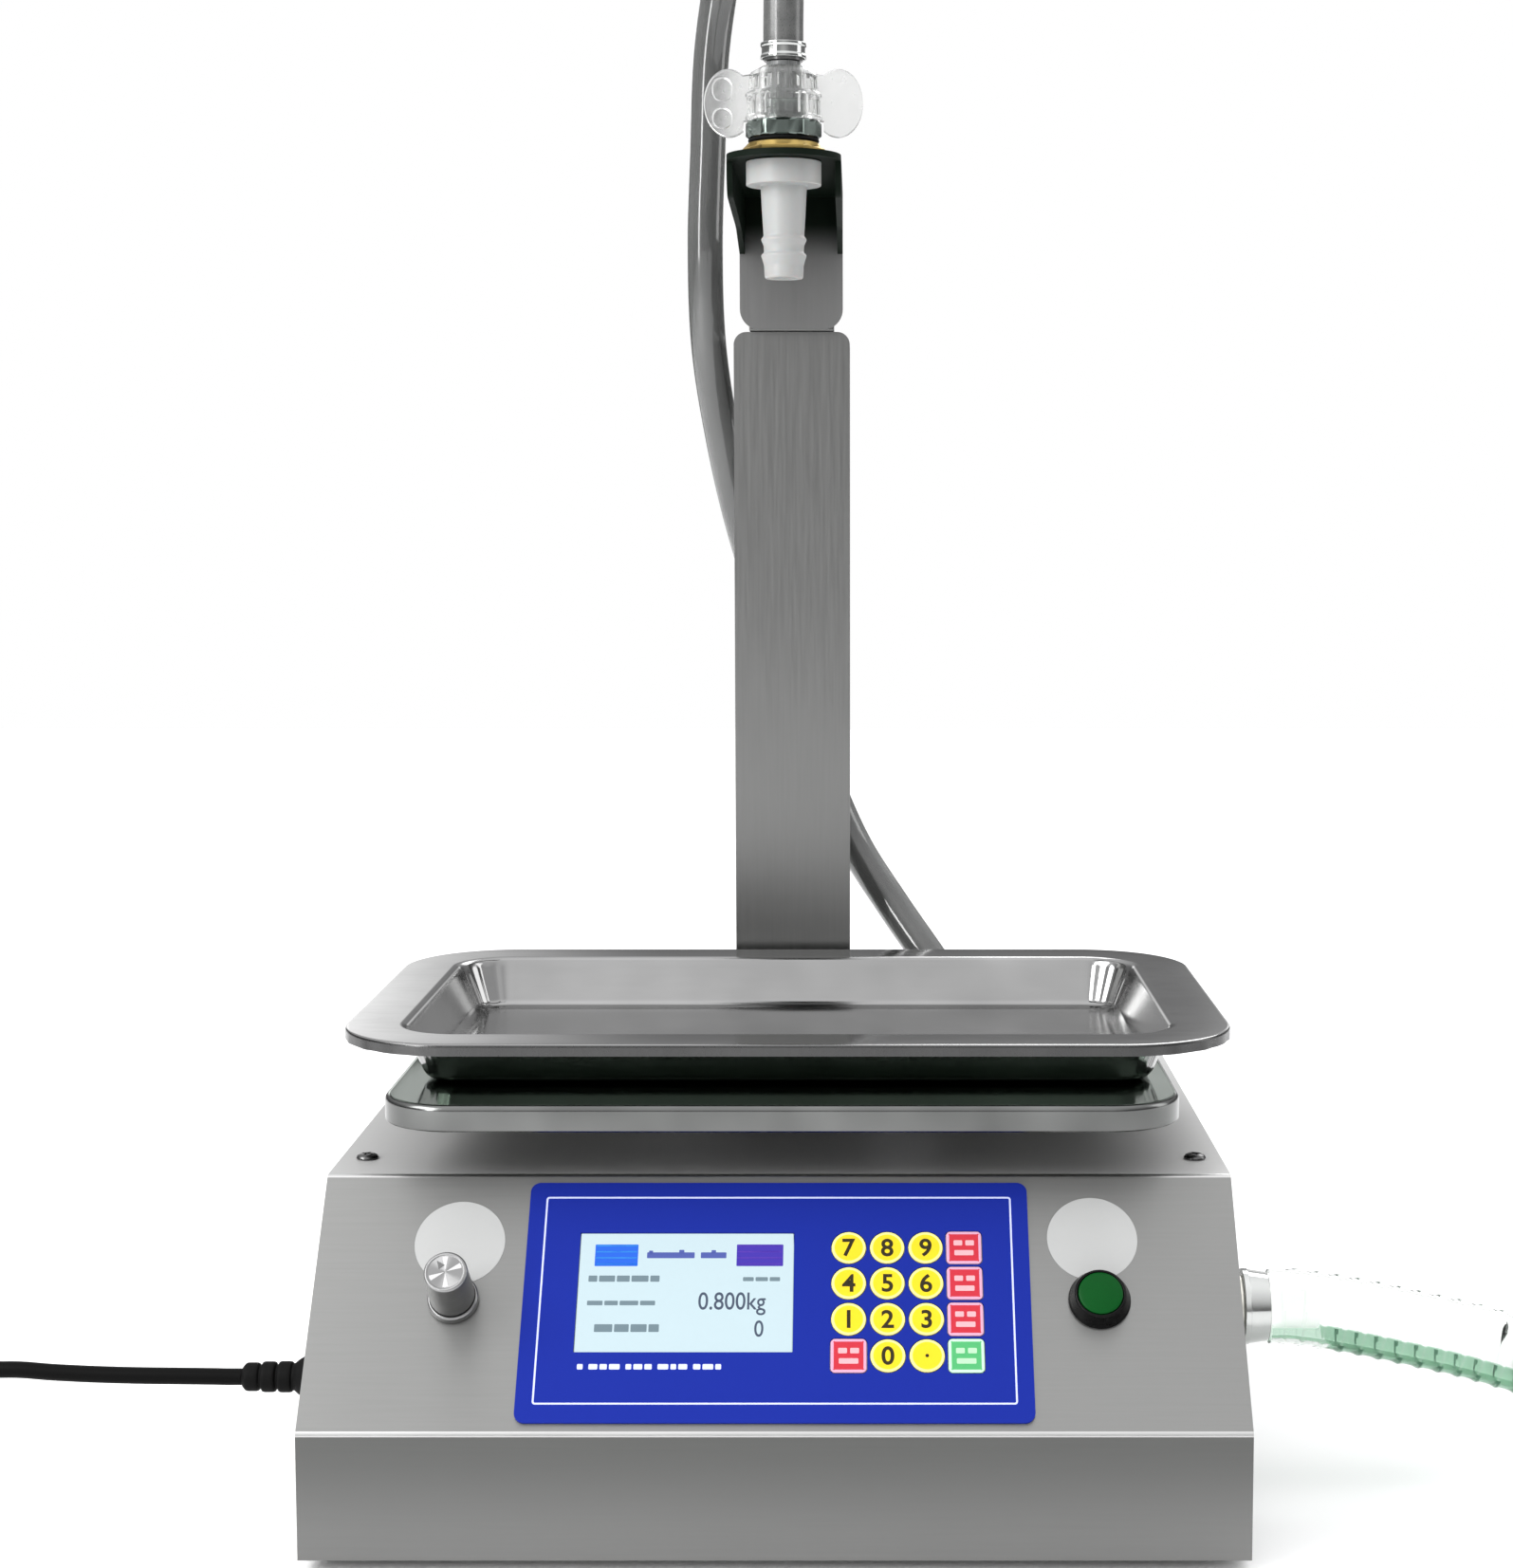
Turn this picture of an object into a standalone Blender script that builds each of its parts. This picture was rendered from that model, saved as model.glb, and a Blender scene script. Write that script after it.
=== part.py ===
"""Bench-top weighing liquid filler: a sheet-steel housing with a keypad, a load cell under a
platform and tray, a pump that draws through a ribbed suction hose, and a nozzle on a
height-adjustable arm that a soft hose feeds from above.

Metres, +Z up. The front faces -Y, and the origin is on the table under the middle of the
machine's own box, measured without its cord and hoses."""

import math

import bmesh
import bpy
from mathutils import Matrix, Vector, geometry

# Clearances shared by all pieces
GAP = 0.0003  # between pieces that touch or seat on each other
PLAY = 0.0005  # round a piece that turns or slides
OVERRUN = 0.002  # how far a cutter runs past what it cuts

# Housing of folded sheet
HOUSING_WIDTH = 0.360
HOUSING_DEPTH = 0.340
SHEET = 0.0012
FOOT_HEIGHT = 0.005
FRONT_HEIGHT = 0.049
SLOPE_RUN = 0.071
SLOPE_RISE = 0.082
FOLD_RADIUS = 0.003
BASE_THICKNESS = 0.0015
FOOT_RADIUS = 0.011
FOOT_INSET = 0.026
SCREW_HEAD_RADIUS = 0.0045
SCREW_HEAD_HEIGHT = 0.0022
SCREW_SHANK_RADIUS = 0.0017
SCREW_SHANK_LENGTH = 0.006
SCREW_FROM_SIDE = 0.011
SCREW_FROM_FOLD = 0.027

# Keypad overlay on the sloped face, placed from the middle of the housing and the lower fold
OVERLAY_WIDTH = 0.1965
OVERLAY_HEIGHT = 0.100
OVERLAY_THICKNESS = 0.0014
OVERLAY_CORNER = 0.004
OVERLAY_RISE = 0.054
DISPLAY_WIDTH = 0.0832
DISPLAY_HEIGHT = 0.0495
DISPLAY_DEPTH = 0.009
DISPLAY_X = -0.0355
DISPLAY_RISE = 0.0573
DISPLAY_SUNK = 0.0004
KEY_PITCH = 0.0150
KEY_RADIUS = 0.0067
KEY_SIDE = 0.0138
KEY_CORNER = 0.0018
KEY_TRAVEL = 0.0004
KEY_PROUD = 0.0003
KEY_X = 0.0503
KEY_RISE = 0.0533
KEYS = ("7", "8", "9", "a", "4", "5", "6", "b", "1", "2", "3", "c", "d", "0", "dot", "e")
SQUARE_KEYS = "abcde"

# Flow knob on its potentiometer
KNOB_FROM_OVERLAY = 0.02675
KNOB_RISE = 0.054
KNOB_RADIUS = 0.0087
KNOB_TOP_RADIUS = 0.0083
KNOB_SKIRT_RADIUS = 0.0098
KNOB_SKIRT_HEIGHT = 0.0035
KNOB_HEIGHT = 0.0255
KNOB_LIFT = 0.0010
KNOB_EDGE = 0.0005
SHAFT_RADIUS = 0.0030
SHAFT_TOP = 0.0165
BUSH_RADIUS = 0.0035
BUSH_TOP = 0.0050
POT_RADIUS = 0.0085
POT_DEPTH = 0.0100

# Start button
BUTTON_FROM_OVERLAY = 0.02655
BUTTON_RISE = 0.054
BEZEL_RADIUS = 0.0121
BEZEL_TOP_RADIUS = 0.0100
BEZEL_HEIGHT = 0.0072
CAP_RADIUS = 0.0086
CAP_HEIGHT = 0.0040
CAP_DOME = 0.0011
CAP_PROUD = 0.0004
CAP_TRAVEL = 0.0022
SWITCH_RADIUS = 0.0079
SWITCH_DEPTH = 0.026
SWITCH_NUT_RADIUS = 0.0110
SWITCH_NUT_THICKNESS = 0.0030

# Weighing platform, tray and load cell
TRAY_WIDTH = 0.3616
TRAY_DEPTH = 0.238
TRAY_X = 0.0028
TRAY_Y = 0.008
TRAY_CORNER = 0.048
TRAY_SHEET = 0.0008
TRAY_RIM = 0.023
TRAY_LIP = 0.0048
TRAY_HEIGHT = 0.0225
TRAY_DRAFT = 0.0115
TRAY_FLOOR_FALL = 0.0020
PLATFORM_WIDTH = 0.318
PLATFORM_DEPTH = 0.234
PLATFORM_X = 0.001
PLATFORM_Y = -0.002
PLATFORM_CORNER = 0.030
PLATFORM_SHEET = 0.0020
PLATFORM_LIP = 0.0105
PLATFORM_EDGE = 0.0024
PLATFORM_CLEARANCE = 0.0215
CELL_LENGTH = 0.130
CELL_SIDE = 0.030
CELL_BOSS_LENGTH = 0.036
CELL_BOSS_HEIGHT = 0.014
CELL_HOLE_RADIUS = 0.0085
CELL_HOLE_SPREAD = 0.026
CELL_SLOT = 0.004
SPIDER_SIDE = 0.110
SPIDER_THICKNESS = 0.004
POST_SIDE = 0.028
POST_CLEARANCE = 0.005

# Column, sliding bar and clamp knob
COLUMN_WIDTH = 0.055
COLUMN_DEPTH = 0.030
COLUMN_FRONT = 0.1365
COLUMN_HEIGHT = 0.3485
COLUMN_WALL = 0.002
COLUMN_SHOULDER = 0.006
COLUMN_CAP = 0.040
COLUMN_FOOT_WIDTH = 0.076
COLUMN_FOOT_THICKNESS = 0.003
COLUMN_FOOT_MARGIN = 0.0015
BAR_WIDTH = 0.040
BAR_DEPTH = 0.012
BAR_LENGTH = 0.112
HEAD_HEIGHT = 0.044
CLAMP_DROP = 0.022
CLAMP_RADIUS = 0.016
CLAMP_THICKNESS = 0.014
CLAMP_HUB_RADIUS = 0.008
CLAMP_HUB_LENGTH = 0.006
CLAMP_SCREW_RADIUS = 0.004
CLAMP_LOBES = 6
CLAMP_LOBE_DEPTH = 0.0016

# Arm: a folded hood that carries the nozzle, and its back plate
NOZZLE_Y = 0.005
ARM_WIDTH = 0.0485
ARM_SHEET = 0.0025
ARM_TOP = 0.549
ARM_PLATE_DROP = 0.0638
ARM_PLATE_CORNER = 0.0095
FLANGE_FRONT_DROP = 0.0145
FLANGE_BACK_DROP = 0.0225

# Nozzle stack, listed from the bottom up
NOZZLE_BORE = 0.0055
NOZZLE_TIP_RADIUS = 0.0082
NOZZLE_TAIL_RADIUS = 0.0093
NOZZLE_NECK_RADIUS = 0.0099
NOZZLE_BARB_RADIUS = 0.0097
NOZZLE_BARB_DIP = 0.0008
NOZZLE_TIP_LENGTH = 0.0098
NOZZLE_BARB_PITCH = 0.0065
NOZZLE_TAIL_LENGTH = 0.0387
FLANGE_RADIUS = 0.0159
FLANGE_HEIGHT = 0.0100
STUD_RADIUS = 0.0100
NUT_RADIUS = 0.0174
NUT_HEIGHT = 0.0043
RING_RADIUS = 0.0150
RING_SECTION = 0.0018
HEX_RADIUS = 0.0160
HEX_HEIGHT = 0.0066
ADAPTER_STUD_RADIUS = 0.0090
ADAPTER_STUD_LENGTH = 0.0150
WING_CORE_RADIUS = 0.0163
WING_TIER_RADIUS = 0.0152
WING_HEIGHT = 0.0225
WING_WALL = 0.0040
WING_REACH = 0.0335
WING_EAR_HEIGHT = 0.0280
WING_EAR_CORNER = 0.0110
WING_EAR_INNER_CORNER = 0.0030
WING_EAR_RISE = -0.0010
WING_EAR_CLEARANCE = 0.0010
WING_EAR_THICKNESS = 0.0045
TAIL_FLANGE_THICKNESS = 0.0025
TAIL_RADIUS = 0.0072
TAIL_BORE = 0.0045
TAIL_RISE = 0.0020
CLAMP_RING_WALL = 0.0009
CLAMP_RING_HEIGHT = 0.0065
CLAMP_RING_OFFSET = 0.0010
CLAMP_EAR = 0.0030

# Output hose, and the elbow fitting where it enters the housing
HOSE_RADIUS = 0.0085
OUTLET_FROM_SIDE = 0.098
OUTLET_FROM_BACK = 0.020
OUTLET_HEX_RADIUS = 0.0125
OUTLET_HEX_HEIGHT = 0.0080
OUTLET_NECK_RADIUS = 0.0072
OUTLET_NECK_HEIGHT = 0.0055
OUTLET_STUB_RADIUS = 0.0060
OUTLET_ELBOW_DROP = 0.0320
OUTLET_ELBOW_LENGTH = 0.0160

# Suction side: fitting, ribbed hose and foot strainer
INLET_Y = -0.060
INLET_Z = 0.0706
INLET_NUT_RADIUS = 0.0130
INLET_NUT_LENGTH = 0.0100
INLET_FLANGE_RADIUS = 0.0156
INLET_FLANGE_LENGTH = 0.0026
INLET_BODY_RADIUS = 0.0153
INLET_BODY_END_RADIUS = 0.0140
INLET_BODY_LENGTH = 0.0085
INLET_BARB_RADIUS = 0.0090
INLET_BARB_LENGTH = 0.0210
INLET_STUB_RADIUS = 0.0100
INLET_STUB_LENGTH = 0.0070
SUCTION_RADIUS = 0.0160
SUCTION_DIP = 0.0012
SUCTION_BORE = 0.0122
SUCTION_PITCH = 0.0085
STRAINER_RADIUS = 0.0150
STRAINER_LENGTH = 0.056
STRAINER_NECK_RADIUS = 0.0112
STRAINER_NECK_LENGTH = 0.018
STRAINER_RING_DEPTH = 0.0012
STRAINER_RINGS = 4

# Mains lead: strain relief, cord, coil and plug
CORD_RADIUS = 0.0034
CORD_Y = -0.080
CORD_Z = 0.0470
RELIEF_LENGTH = 0.0400
RELIEF_FLANGE_RADIUS = 0.0112
RELIEF_FLANGE_LENGTH = 0.0195
RELIEF_RADIUS = 0.0066
RELIEF_TIP_RADIUS = 0.0060
RELIEF_GROOVE = 0.0014
RELIEF_RIBS = 3
RELIEF_STUB_RADIUS = 0.0070
RELIEF_STUB_LENGTH = 0.0060
COIL_RADIUS = 0.0408
COIL_TURNS_PER_LAYER = 3
COIL_SPACING = 0.0075
COIL_TURNING_SHARE = 0.1
COIL_TAIL = 0.065
COIL_TAIL_FLAT = 0.028
PLUG_WIDTH = 0.030
PLUG_HEIGHT = 0.020
PLUG_LENGTH = 0.034
PLUG_NECK_LENGTH = 0.020
PLUG_NECK_RADIUS = 0.0062
PLUG_CORNER = 0.006
PIN_WIDTH = 0.0064
PIN_THICKNESS = 0.0016
PIN_LENGTH = 0.016
PIN_SPREAD = 0.0063
EARTH_DROP = 0.0045

# Works inside the housing
PUMP_SIDE = 0.058
PUMP_DEPTH = 0.058
PUMP_HEIGHT = 0.066
PUMP_FOOT_SIDE = 0.030
MOTOR_RADIUS = 0.0265
MOTOR_LENGTH = 0.105
MOTOR_FOOT_WIDTH = 0.036
TUBE_RADIUS = 0.0060
BOARD_WIDTH = 0.166
BOARD_HEIGHT = 0.080
BOARD_THICKNESS = 0.0016
STANDOFF_RADIUS = 0.0030
STANDOFF_INSET = 0.006
SUPPLY_WIDTH = 0.082
SUPPLY_DEPTH = 0.129
SUPPLY_HEIGHT = 0.038
SUPPLY_MARGIN = 0.0138
SUPPLY_FROM_BACK = 0.0205

# Facets
ROUND = 24
SMALL_ROUND = 16
RIB_SIDES = 8
BORE_STEP = 8
KEY_ROUND = 18
HEXAGON = 6
CURVE_STEPS = 24
CORNER_STEPS = 6
SMALL_CORNER_STEPS = 3
SHARP_ANGLE = math.radians(35)
QUARTER = math.radians(90)
ALONG_X = (QUARTER, 0, QUARTER)

# Routes of the free cords, chosen by hand. The output hose is placed from the middle of the
# housing, and the suction hose and the mains lead from the side that they leave.
OUTPUT_ROUTE = [
    (0.000, 0.005, 0.600),
    (0.000, 0.006, 0.620),
    (-0.0030, 0.018, 0.657),
    (-0.0090, 0.045, 0.686),
    (-0.0165, 0.078, 0.697),
    (-0.0240, 0.110, 0.686),
    (-0.0310, 0.136, 0.656),
    (-0.0378, 0.147, 0.615),
    (-0.0400, 0.150, 0.570),
    (-0.0416, 0.152, 0.525),
    (-0.0406, 0.160, 0.480),
    (-0.0350, 0.174, 0.438),
    (-0.0262, 0.184, 0.396),
    (-0.0130, 0.187, 0.352),
    (0.0015, 0.186, 0.309),
    (0.0150, 0.184, 0.268),
    (0.0297, 0.178, 0.2352),
    (0.0478, 0.167, 0.2078),
    (0.0650, 0.157, 0.1840),
    (0.0758, 0.1515, 0.1690),
]
SUCTION_ROUTE = [
    (0.045, -0.060, 0.0686),
    (0.060, -0.060, 0.0660),
    (0.080, -0.0605, 0.0619),
    (0.110, -0.062, 0.0553),
    (0.150, -0.068, 0.0438),
    (0.190, -0.082, 0.0310),
    (0.230, -0.102, 0.0210),
    (0.270, -0.119, 0.0166),
    (0.310, -0.128, 0.0160),
]
SUCTION_LOOP_RADIUS = 0.135
SUCTION_INNER_RADIUS = 0.130
SUCTION_INNER_TURN = math.radians(40)
CORD_ROUTE = [
    (-0.0500, -0.080, 0.0471),
    (-0.0650, -0.080, 0.0473),
    (-0.082, -0.080, 0.0475),
    (-0.100, -0.080, 0.0480),
    (-0.118, -0.080, 0.0489),
    (-0.133, -0.080, 0.0500),
    (-0.147, -0.080, 0.0492),
    (-0.160, -0.080, 0.0450),
    (-0.175, -0.080, 0.0362),
    (-0.190, -0.080, 0.0265),
    (-0.208, -0.080, 0.0162),
    (-0.224, -0.080, 0.0113),
]
CORD_END = -0.238

# Levels worked out from the sizes above
HALF_WIDTH = HOUSING_WIDTH / 2
HALF_DEPTH = HOUSING_DEPTH / 2
KNOB_X = -OVERLAY_WIDTH / 2 - KNOB_FROM_OVERLAY
BUTTON_X = OVERLAY_WIDTH / 2 + BUTTON_FROM_OVERLAY
OUTLET_X = HALF_WIDTH - OUTLET_FROM_SIDE
OUTLET_Y = HALF_DEPTH - OUTLET_FROM_BACK
SUPPLY_X = SUPPLY_MARGIN + SUPPLY_WIDTH / 2 - HALF_WIDTH
SUPPLY_Y = HALF_DEPTH - SUPPLY_FROM_BACK - SUPPLY_DEPTH / 2
FOLD_Z = FOOT_HEIGHT + FRONT_HEIGHT
TOP_Z = FOLD_Z + SLOPE_RISE
FLOOR_Z = FOOT_HEIGHT + BASE_THICKNESS
SLOPE_ANGLE = math.atan2(SLOPE_RISE, SLOPE_RUN)
PLATFORM_TOP = TOP_Z + PLATFORM_CLEARANCE + PLATFORM_LIP
TRAY_FLOOR = PLATFORM_TOP + GAP
COLUMN_Y = COLUMN_FRONT + COLUMN_DEPTH / 2
COLUMN_FOOT_Z = TOP_Z + GAP
COLUMN_TOP = TOP_Z + COLUMN_HEIGHT
ARM_BACK = COLUMN_FRONT - COLUMN_FOOT_THICKNESS - GAP
SHELF_BOTTOM = ARM_TOP - ARM_SHEET
NUT_Z = ARM_TOP + GAP
RING_Z = NUT_Z + NUT_HEIGHT + GAP
HEX_Z = RING_Z + RING_SECTION + GAP
WING_Z = HEX_Z + HEX_HEIGHT + GAP
TAIL_Z = HEX_Z + ADAPTER_STUD_LENGTH + GAP
HOSE_START = WING_Z + WING_HEIGHT + TAIL_RISE + GAP
OUTLET_TOP = TOP_Z + GAP + OUTLET_HEX_HEIGHT + OUTLET_NECK_HEIGHT
INLET_END = HALF_WIDTH + GAP + INLET_NUT_LENGTH + INLET_FLANGE_LENGTH + INLET_BODY_LENGTH
TUBE_Z = TOP_Z - OUTLET_ELBOW_DROP
CLAMP_BACK = COLUMN_FRONT + COLUMN_DEPTH + CLAMP_HUB_LENGTH + CLAMP_THICKNESS + PLAY


def machine_shift():
    """Brings the middle of the machine's own box, without cords, over the origin."""
    right = INLET_END + INLET_BARB_LENGTH
    back = max(CLAMP_BACK, HALF_DEPTH)
    return Vector(((HALF_WIDTH - right) / 2, (HALF_DEPTH - back) / 2, 0))


# Mesh tools
def material(name, colour, roughness, metallic, alpha=1.0):
    made = bpy.data.materials.new(name)
    made.use_nodes = True
    shader = made.node_tree.nodes["Principled BSDF"]
    shader.inputs["Base Color"].default_value = (*colour, 1.0)
    shader.inputs["Roughness"].default_value = roughness
    shader.inputs["Metallic"].default_value = metallic
    shader.inputs["Alpha"].default_value = alpha
    made.diffuse_color = (*colour, alpha)
    return made


def place(obj, parent, location=(0, 0, 0), rotation=(0, 0, 0)):
    bpy.context.scene.collection.objects.link(obj)
    obj.parent = parent
    obj.location = location
    obj.rotation_euler = rotation
    return obj


def solid(name, bm, finish, parent, location=(0, 0, 0), rotation=(0, 0, 0)):
    bmesh.ops.recalc_face_normals(bm, faces=bm.faces)
    mesh = bpy.data.meshes.new(name)
    bm.to_mesh(mesh)
    bm.free()
    mesh.shade_smooth()
    mesh.set_sharp_from_angle(angle=SHARP_ANGLE)
    mesh.materials.append(finish)
    return place(bpy.data.objects.new(name, mesh), parent, location, rotation)


def guide(obj):
    obj.hide_render = True
    obj.display_type = "WIRE"
    return obj


def combine(target, other, operation):
    modifier = target.modifiers.new(other.name, "BOOLEAN")
    modifier.operation = operation
    modifier.object = guide(other)
    return target


def cut(target, cutter):
    return combine(target, cutter, "DIFFERENCE")


def add(target, other):
    return combine(target, other, "UNION")


def skin(rings, closed=False):
    """A closed body through rings of equal counts: capped at both ends, or joined end to start."""
    bm = bmesh.new()
    loops = [[bm.verts.new(p) for p in ring] for ring in rings]
    pairs = list(zip(loops, loops[1:]))
    if closed:
        pairs.append((loops[-1], loops[0]))
    for low, high in pairs:
        count = max(len(low), len(high))
        for k in range(count):
            n = (k + 1) % count
            corners = [low[k % len(low)], low[n % len(low)], high[n % len(high)], high[k % len(high)]]
            bm.faces.new(list(dict.fromkeys(corners)))
    if not closed:
        for loop in (loops[0], loops[-1]):
            if len(loop) > 2:
                bm.faces.new(loop)
    return bm


def turned(profile, segments=ROUND, closed=False):
    """A body turned about Z from (radius, height) pairs; a radius of zero ends on the axis."""
    rings = []
    for radius, height in profile:
        if radius == 0:
            rings.append([(0, 0, height)])
            continue
        angles = [2 * math.pi * k / segments for k in range(segments)]
        rings.append([(radius * math.cos(a), radius * math.sin(a), height) for a in angles])
    return skin(rings, closed)


def rod(radius, low, high, segments=ROUND):
    return turned([(radius, low), (radius, high)], segments)


def extruded(outline, low, high):
    return skin([[(x, y, z) for x, y in outline] for z in (low, high)])


def block(low, high):
    corners = [(low[0], low[1]), (high[0], low[1]), (high[0], high[1]), (low[0], high[1])]
    return extruded(corners, low[2], high[2])


def arc(centre, radius, start, end, steps):
    angles = [start + (end - start) * k / steps for k in range(steps + 1)]
    return [(centre[0] + radius * math.cos(a), centre[1] + radius * math.sin(a)) for a in angles]


def rounded(half_x, half_y, radius, steps=CORNER_STEPS, centre=(0, 0)):
    """A rectangle's outline with round corners, anticlockwise."""
    points = []
    for k, (sx, sy) in enumerate(((1, 1), (-1, 1), (-1, -1), (1, -1))):
        middle = (centre[0] + sx * (half_x - radius), centre[1] + sy * (half_y - radius))
        points += arc(middle, radius, k * QUARTER, (k + 1) * QUARTER, steps)
    return points


def filleted(corners, radii, steps=SMALL_CORNER_STEPS):
    """A polygon's outline with an arc at each corner that has a radius."""
    points = []
    for k, (corner, radius) in enumerate(zip(corners, radii)):
        here = Vector(corner)
        back = (Vector(corners[k - 1]) - here).normalized()
        on = (Vector(corners[(k + 1) % len(corners)]) - here).normalized()
        if radius == 0:
            points.append(tuple(here))
            continue
        half = back.angle(on) / 2
        middle = here + (back + on).normalized() * (radius / math.sin(half))
        start = here + back * (radius / math.tan(half)) - middle
        end = here + on * (radius / math.tan(half)) - middle
        for step in range(steps + 1):
            share = step / steps
            way = start.normalized() * math.sin((1 - share) * (math.pi / 2 - half) * 2)
            way += end.normalized() * math.sin(share * (math.pi / 2 - half) * 2)
            points.append(tuple(middle + way.normalized() * radius))
    return points


def dish(half_x, half_y, corner, profile, smallest, centre_y=0):
    """A sheet tray from (inset, height) pairs that run over one side and back along the other."""
    rings = []
    for inset, height in profile:
        radius = max(corner - inset, smallest)
        outline = rounded(half_x - inset, half_y - inset, radius)
        rings.append([(x, y + centre_y, height) for x, y in outline])
    return skin(rings)


# Lines through a route
def smooth_line(points, step):
    """Points at an even step on a smooth curve through the route's own points."""
    route = [Vector(p) for p in points]
    ends = [2 * route[0] - route[1], *route, 2 * route[-1] - route[-2]]
    dense = []
    for before, a, b, after in zip(ends, ends[1:], ends[2:], ends[3:]):
        reach = (b - a).length / 3
        leave = a + (b - before).normalized() * reach
        arrive = b - (after - a).normalized() * reach
        dense += geometry.interpolate_bezier(a, leave, arrive, b, CURVE_STEPS)[:-1]
    return even(dense + [route[-1]], step)


def even(points, step):
    line = [Vector(p) for p in points]
    marks = [0.0]
    for a, b in zip(line, line[1:]):
        marks.append(marks[-1] + (b - a).length)
    count = max(2, round(marks[-1] / step))
    found, k = [], 0
    for n in range(count + 1):
        want = marks[-1] * n / count
        while k < len(marks) - 2 and marks[k + 1] < want:
            k += 1
        share = (want - marks[k]) / max(marks[k + 1] - marks[k], 1e-9)
        found.append(line[k].lerp(line[k + 1], share))
    return found


def length_of(points):
    return sum((b - a).length for a, b in zip(points, points[1:]))


def least_gap(points, radius, apart):
    """The least gap of a tube to itself, between points more than some way apart along it."""
    line = even(points, radius)
    skip = round(apart / radius)
    nearest = min(
        (line[j] - line[i]).length for i in range(len(line)) for j in range(i + skip, len(line))
    )
    return nearest - 2 * radius


def tube(name, points, radius, finish, parent, sides=2):
    """A round tube along points, with its ends capped."""
    curve = bpy.data.curves.new(name, "CURVE")
    curve.dimensions = "3D"
    curve.bevel_depth = radius
    curve.bevel_resolution = sides
    curve.use_fill_caps = True
    spline = curve.splines.new("POLY")
    spline.points.add(len(points) - 1)
    for knot, point in zip(spline.points, points):
        knot.co = (*point, 1)
    curve.materials.append(finish)
    return place(bpy.data.objects.new(name, curve), parent)


def rings_along(points, radii, sides):
    """Rings square to a line, each turned no more than the line bends from the one before."""
    rings, across = [], Vector((0, 1, 0))
    for k, point in enumerate(points):
        ahead = points[min(k + 1, len(points) - 1)] - points[max(k - 1, 0)]
        along = ahead.normalized()
        across = (across - along * across.dot(along)).normalized()
        up = along.cross(across)
        angles = [2 * math.pi * n / sides for n in range(sides)]
        rings.append([point + radii[k] * (across * math.cos(a) + up * math.sin(a)) for a in angles])
    return rings


# Housing
def cover_outline(inset, bottom, back):
    """The housing's side view, as (y, z), drawn in by a sheet's thickness."""
    front = -HALF_DEPTH + inset
    slide = inset * math.tan(SLOPE_ANGLE / 2 - QUARTER / 2)
    drop = inset * math.tan(SLOPE_ANGLE / 2)
    corners = [
        (back, bottom),
        (back, TOP_Z - inset),
        (-HALF_DEPTH + SLOPE_RUN + drop, TOP_Z - inset),
        (front, FOLD_Z + slide),
        (front, bottom),
    ]
    bend = FOLD_RADIUS - inset
    return filleted(corners, (0, 0, bend, bend, 0))


def housing_cover(parent, slope, steel):
    outer = extruded(cover_outline(0, FOOT_HEIGHT, HALF_DEPTH), -HALF_WIDTH, HALF_WIDTH)
    cover = solid("housing_cover", outer, steel, parent, rotation=ALONG_X)
    hollow = cover_outline(SHEET, FOOT_HEIGHT - OVERRUN, HALF_DEPTH + OVERRUN)
    inside = extruded(hollow, SHEET - HALF_WIDTH, HALF_WIDTH - SHEET)
    cut(cover, solid("cavity", inside, steel, parent, rotation=ALONG_X))
    deep = SHEET + OVERRUN
    window = rounded(DISPLAY_WIDTH / 2 + GAP, DISPLAY_HEIGHT / 2 + GAP, GAP, 1)
    spot = (DISPLAY_X, DISPLAY_RISE, 0)
    cut(cover, solid("window_cut", extruded(window, -deep, OVERRUN), steel, slope, spot))
    for name, x, rise, radius in (
        ("knob_cut", KNOB_X, KNOB_RISE, BUSH_RADIUS),
        ("button_cut", BUTTON_X, BUTTON_RISE, SWITCH_RADIUS),
    ):
        cut(cover, solid(name, rod(radius + GAP, -deep, OVERRUN), steel, slope, (x, rise, 0)))
    for name, x, y, z, radius in (
        ("inlet_cut", HALF_WIDTH, INLET_Y, INLET_Z, INLET_STUB_RADIUS),
        ("cord_cut", -HALF_WIDTH, CORD_Y, CORD_Z, RELIEF_STUB_RADIUS),
    ):
        cutter = rod(radius + GAP, -deep, deep)
        cut(cover, solid(name, cutter, steel, parent, (x, y, z), (0, QUARTER, 0)))
    half = POST_SIDE / 2 + POST_CLEARANCE
    spot = (post_x(), PLATFORM_Y, TOP_Z)
    post_cut = extruded(rounded(half, half, POST_CLEARANCE), -deep, deep)
    cut(cover, solid("post_cut", post_cut, steel, parent, spot))
    cutter = rod(OUTLET_STUB_RADIUS + GAP, -deep, deep)
    cut(cover, solid("outlet_cut", cutter, steel, parent, (OUTLET_X, OUTLET_Y, TOP_Z)))
    for side in (-1, 1):
        cutter = rod(SCREW_SHANK_RADIUS + GAP, -deep, deep, SMALL_ROUND)
        cut(cover, solid("screw_cut", cutter, steel, parent, screw_spot(side)))


def screw_spot(side):
    return (
        side * (HALF_WIDTH - SCREW_FROM_SIDE),
        SLOPE_RUN + SCREW_FROM_FOLD - HALF_DEPTH,
        TOP_Z,
    )


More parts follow.
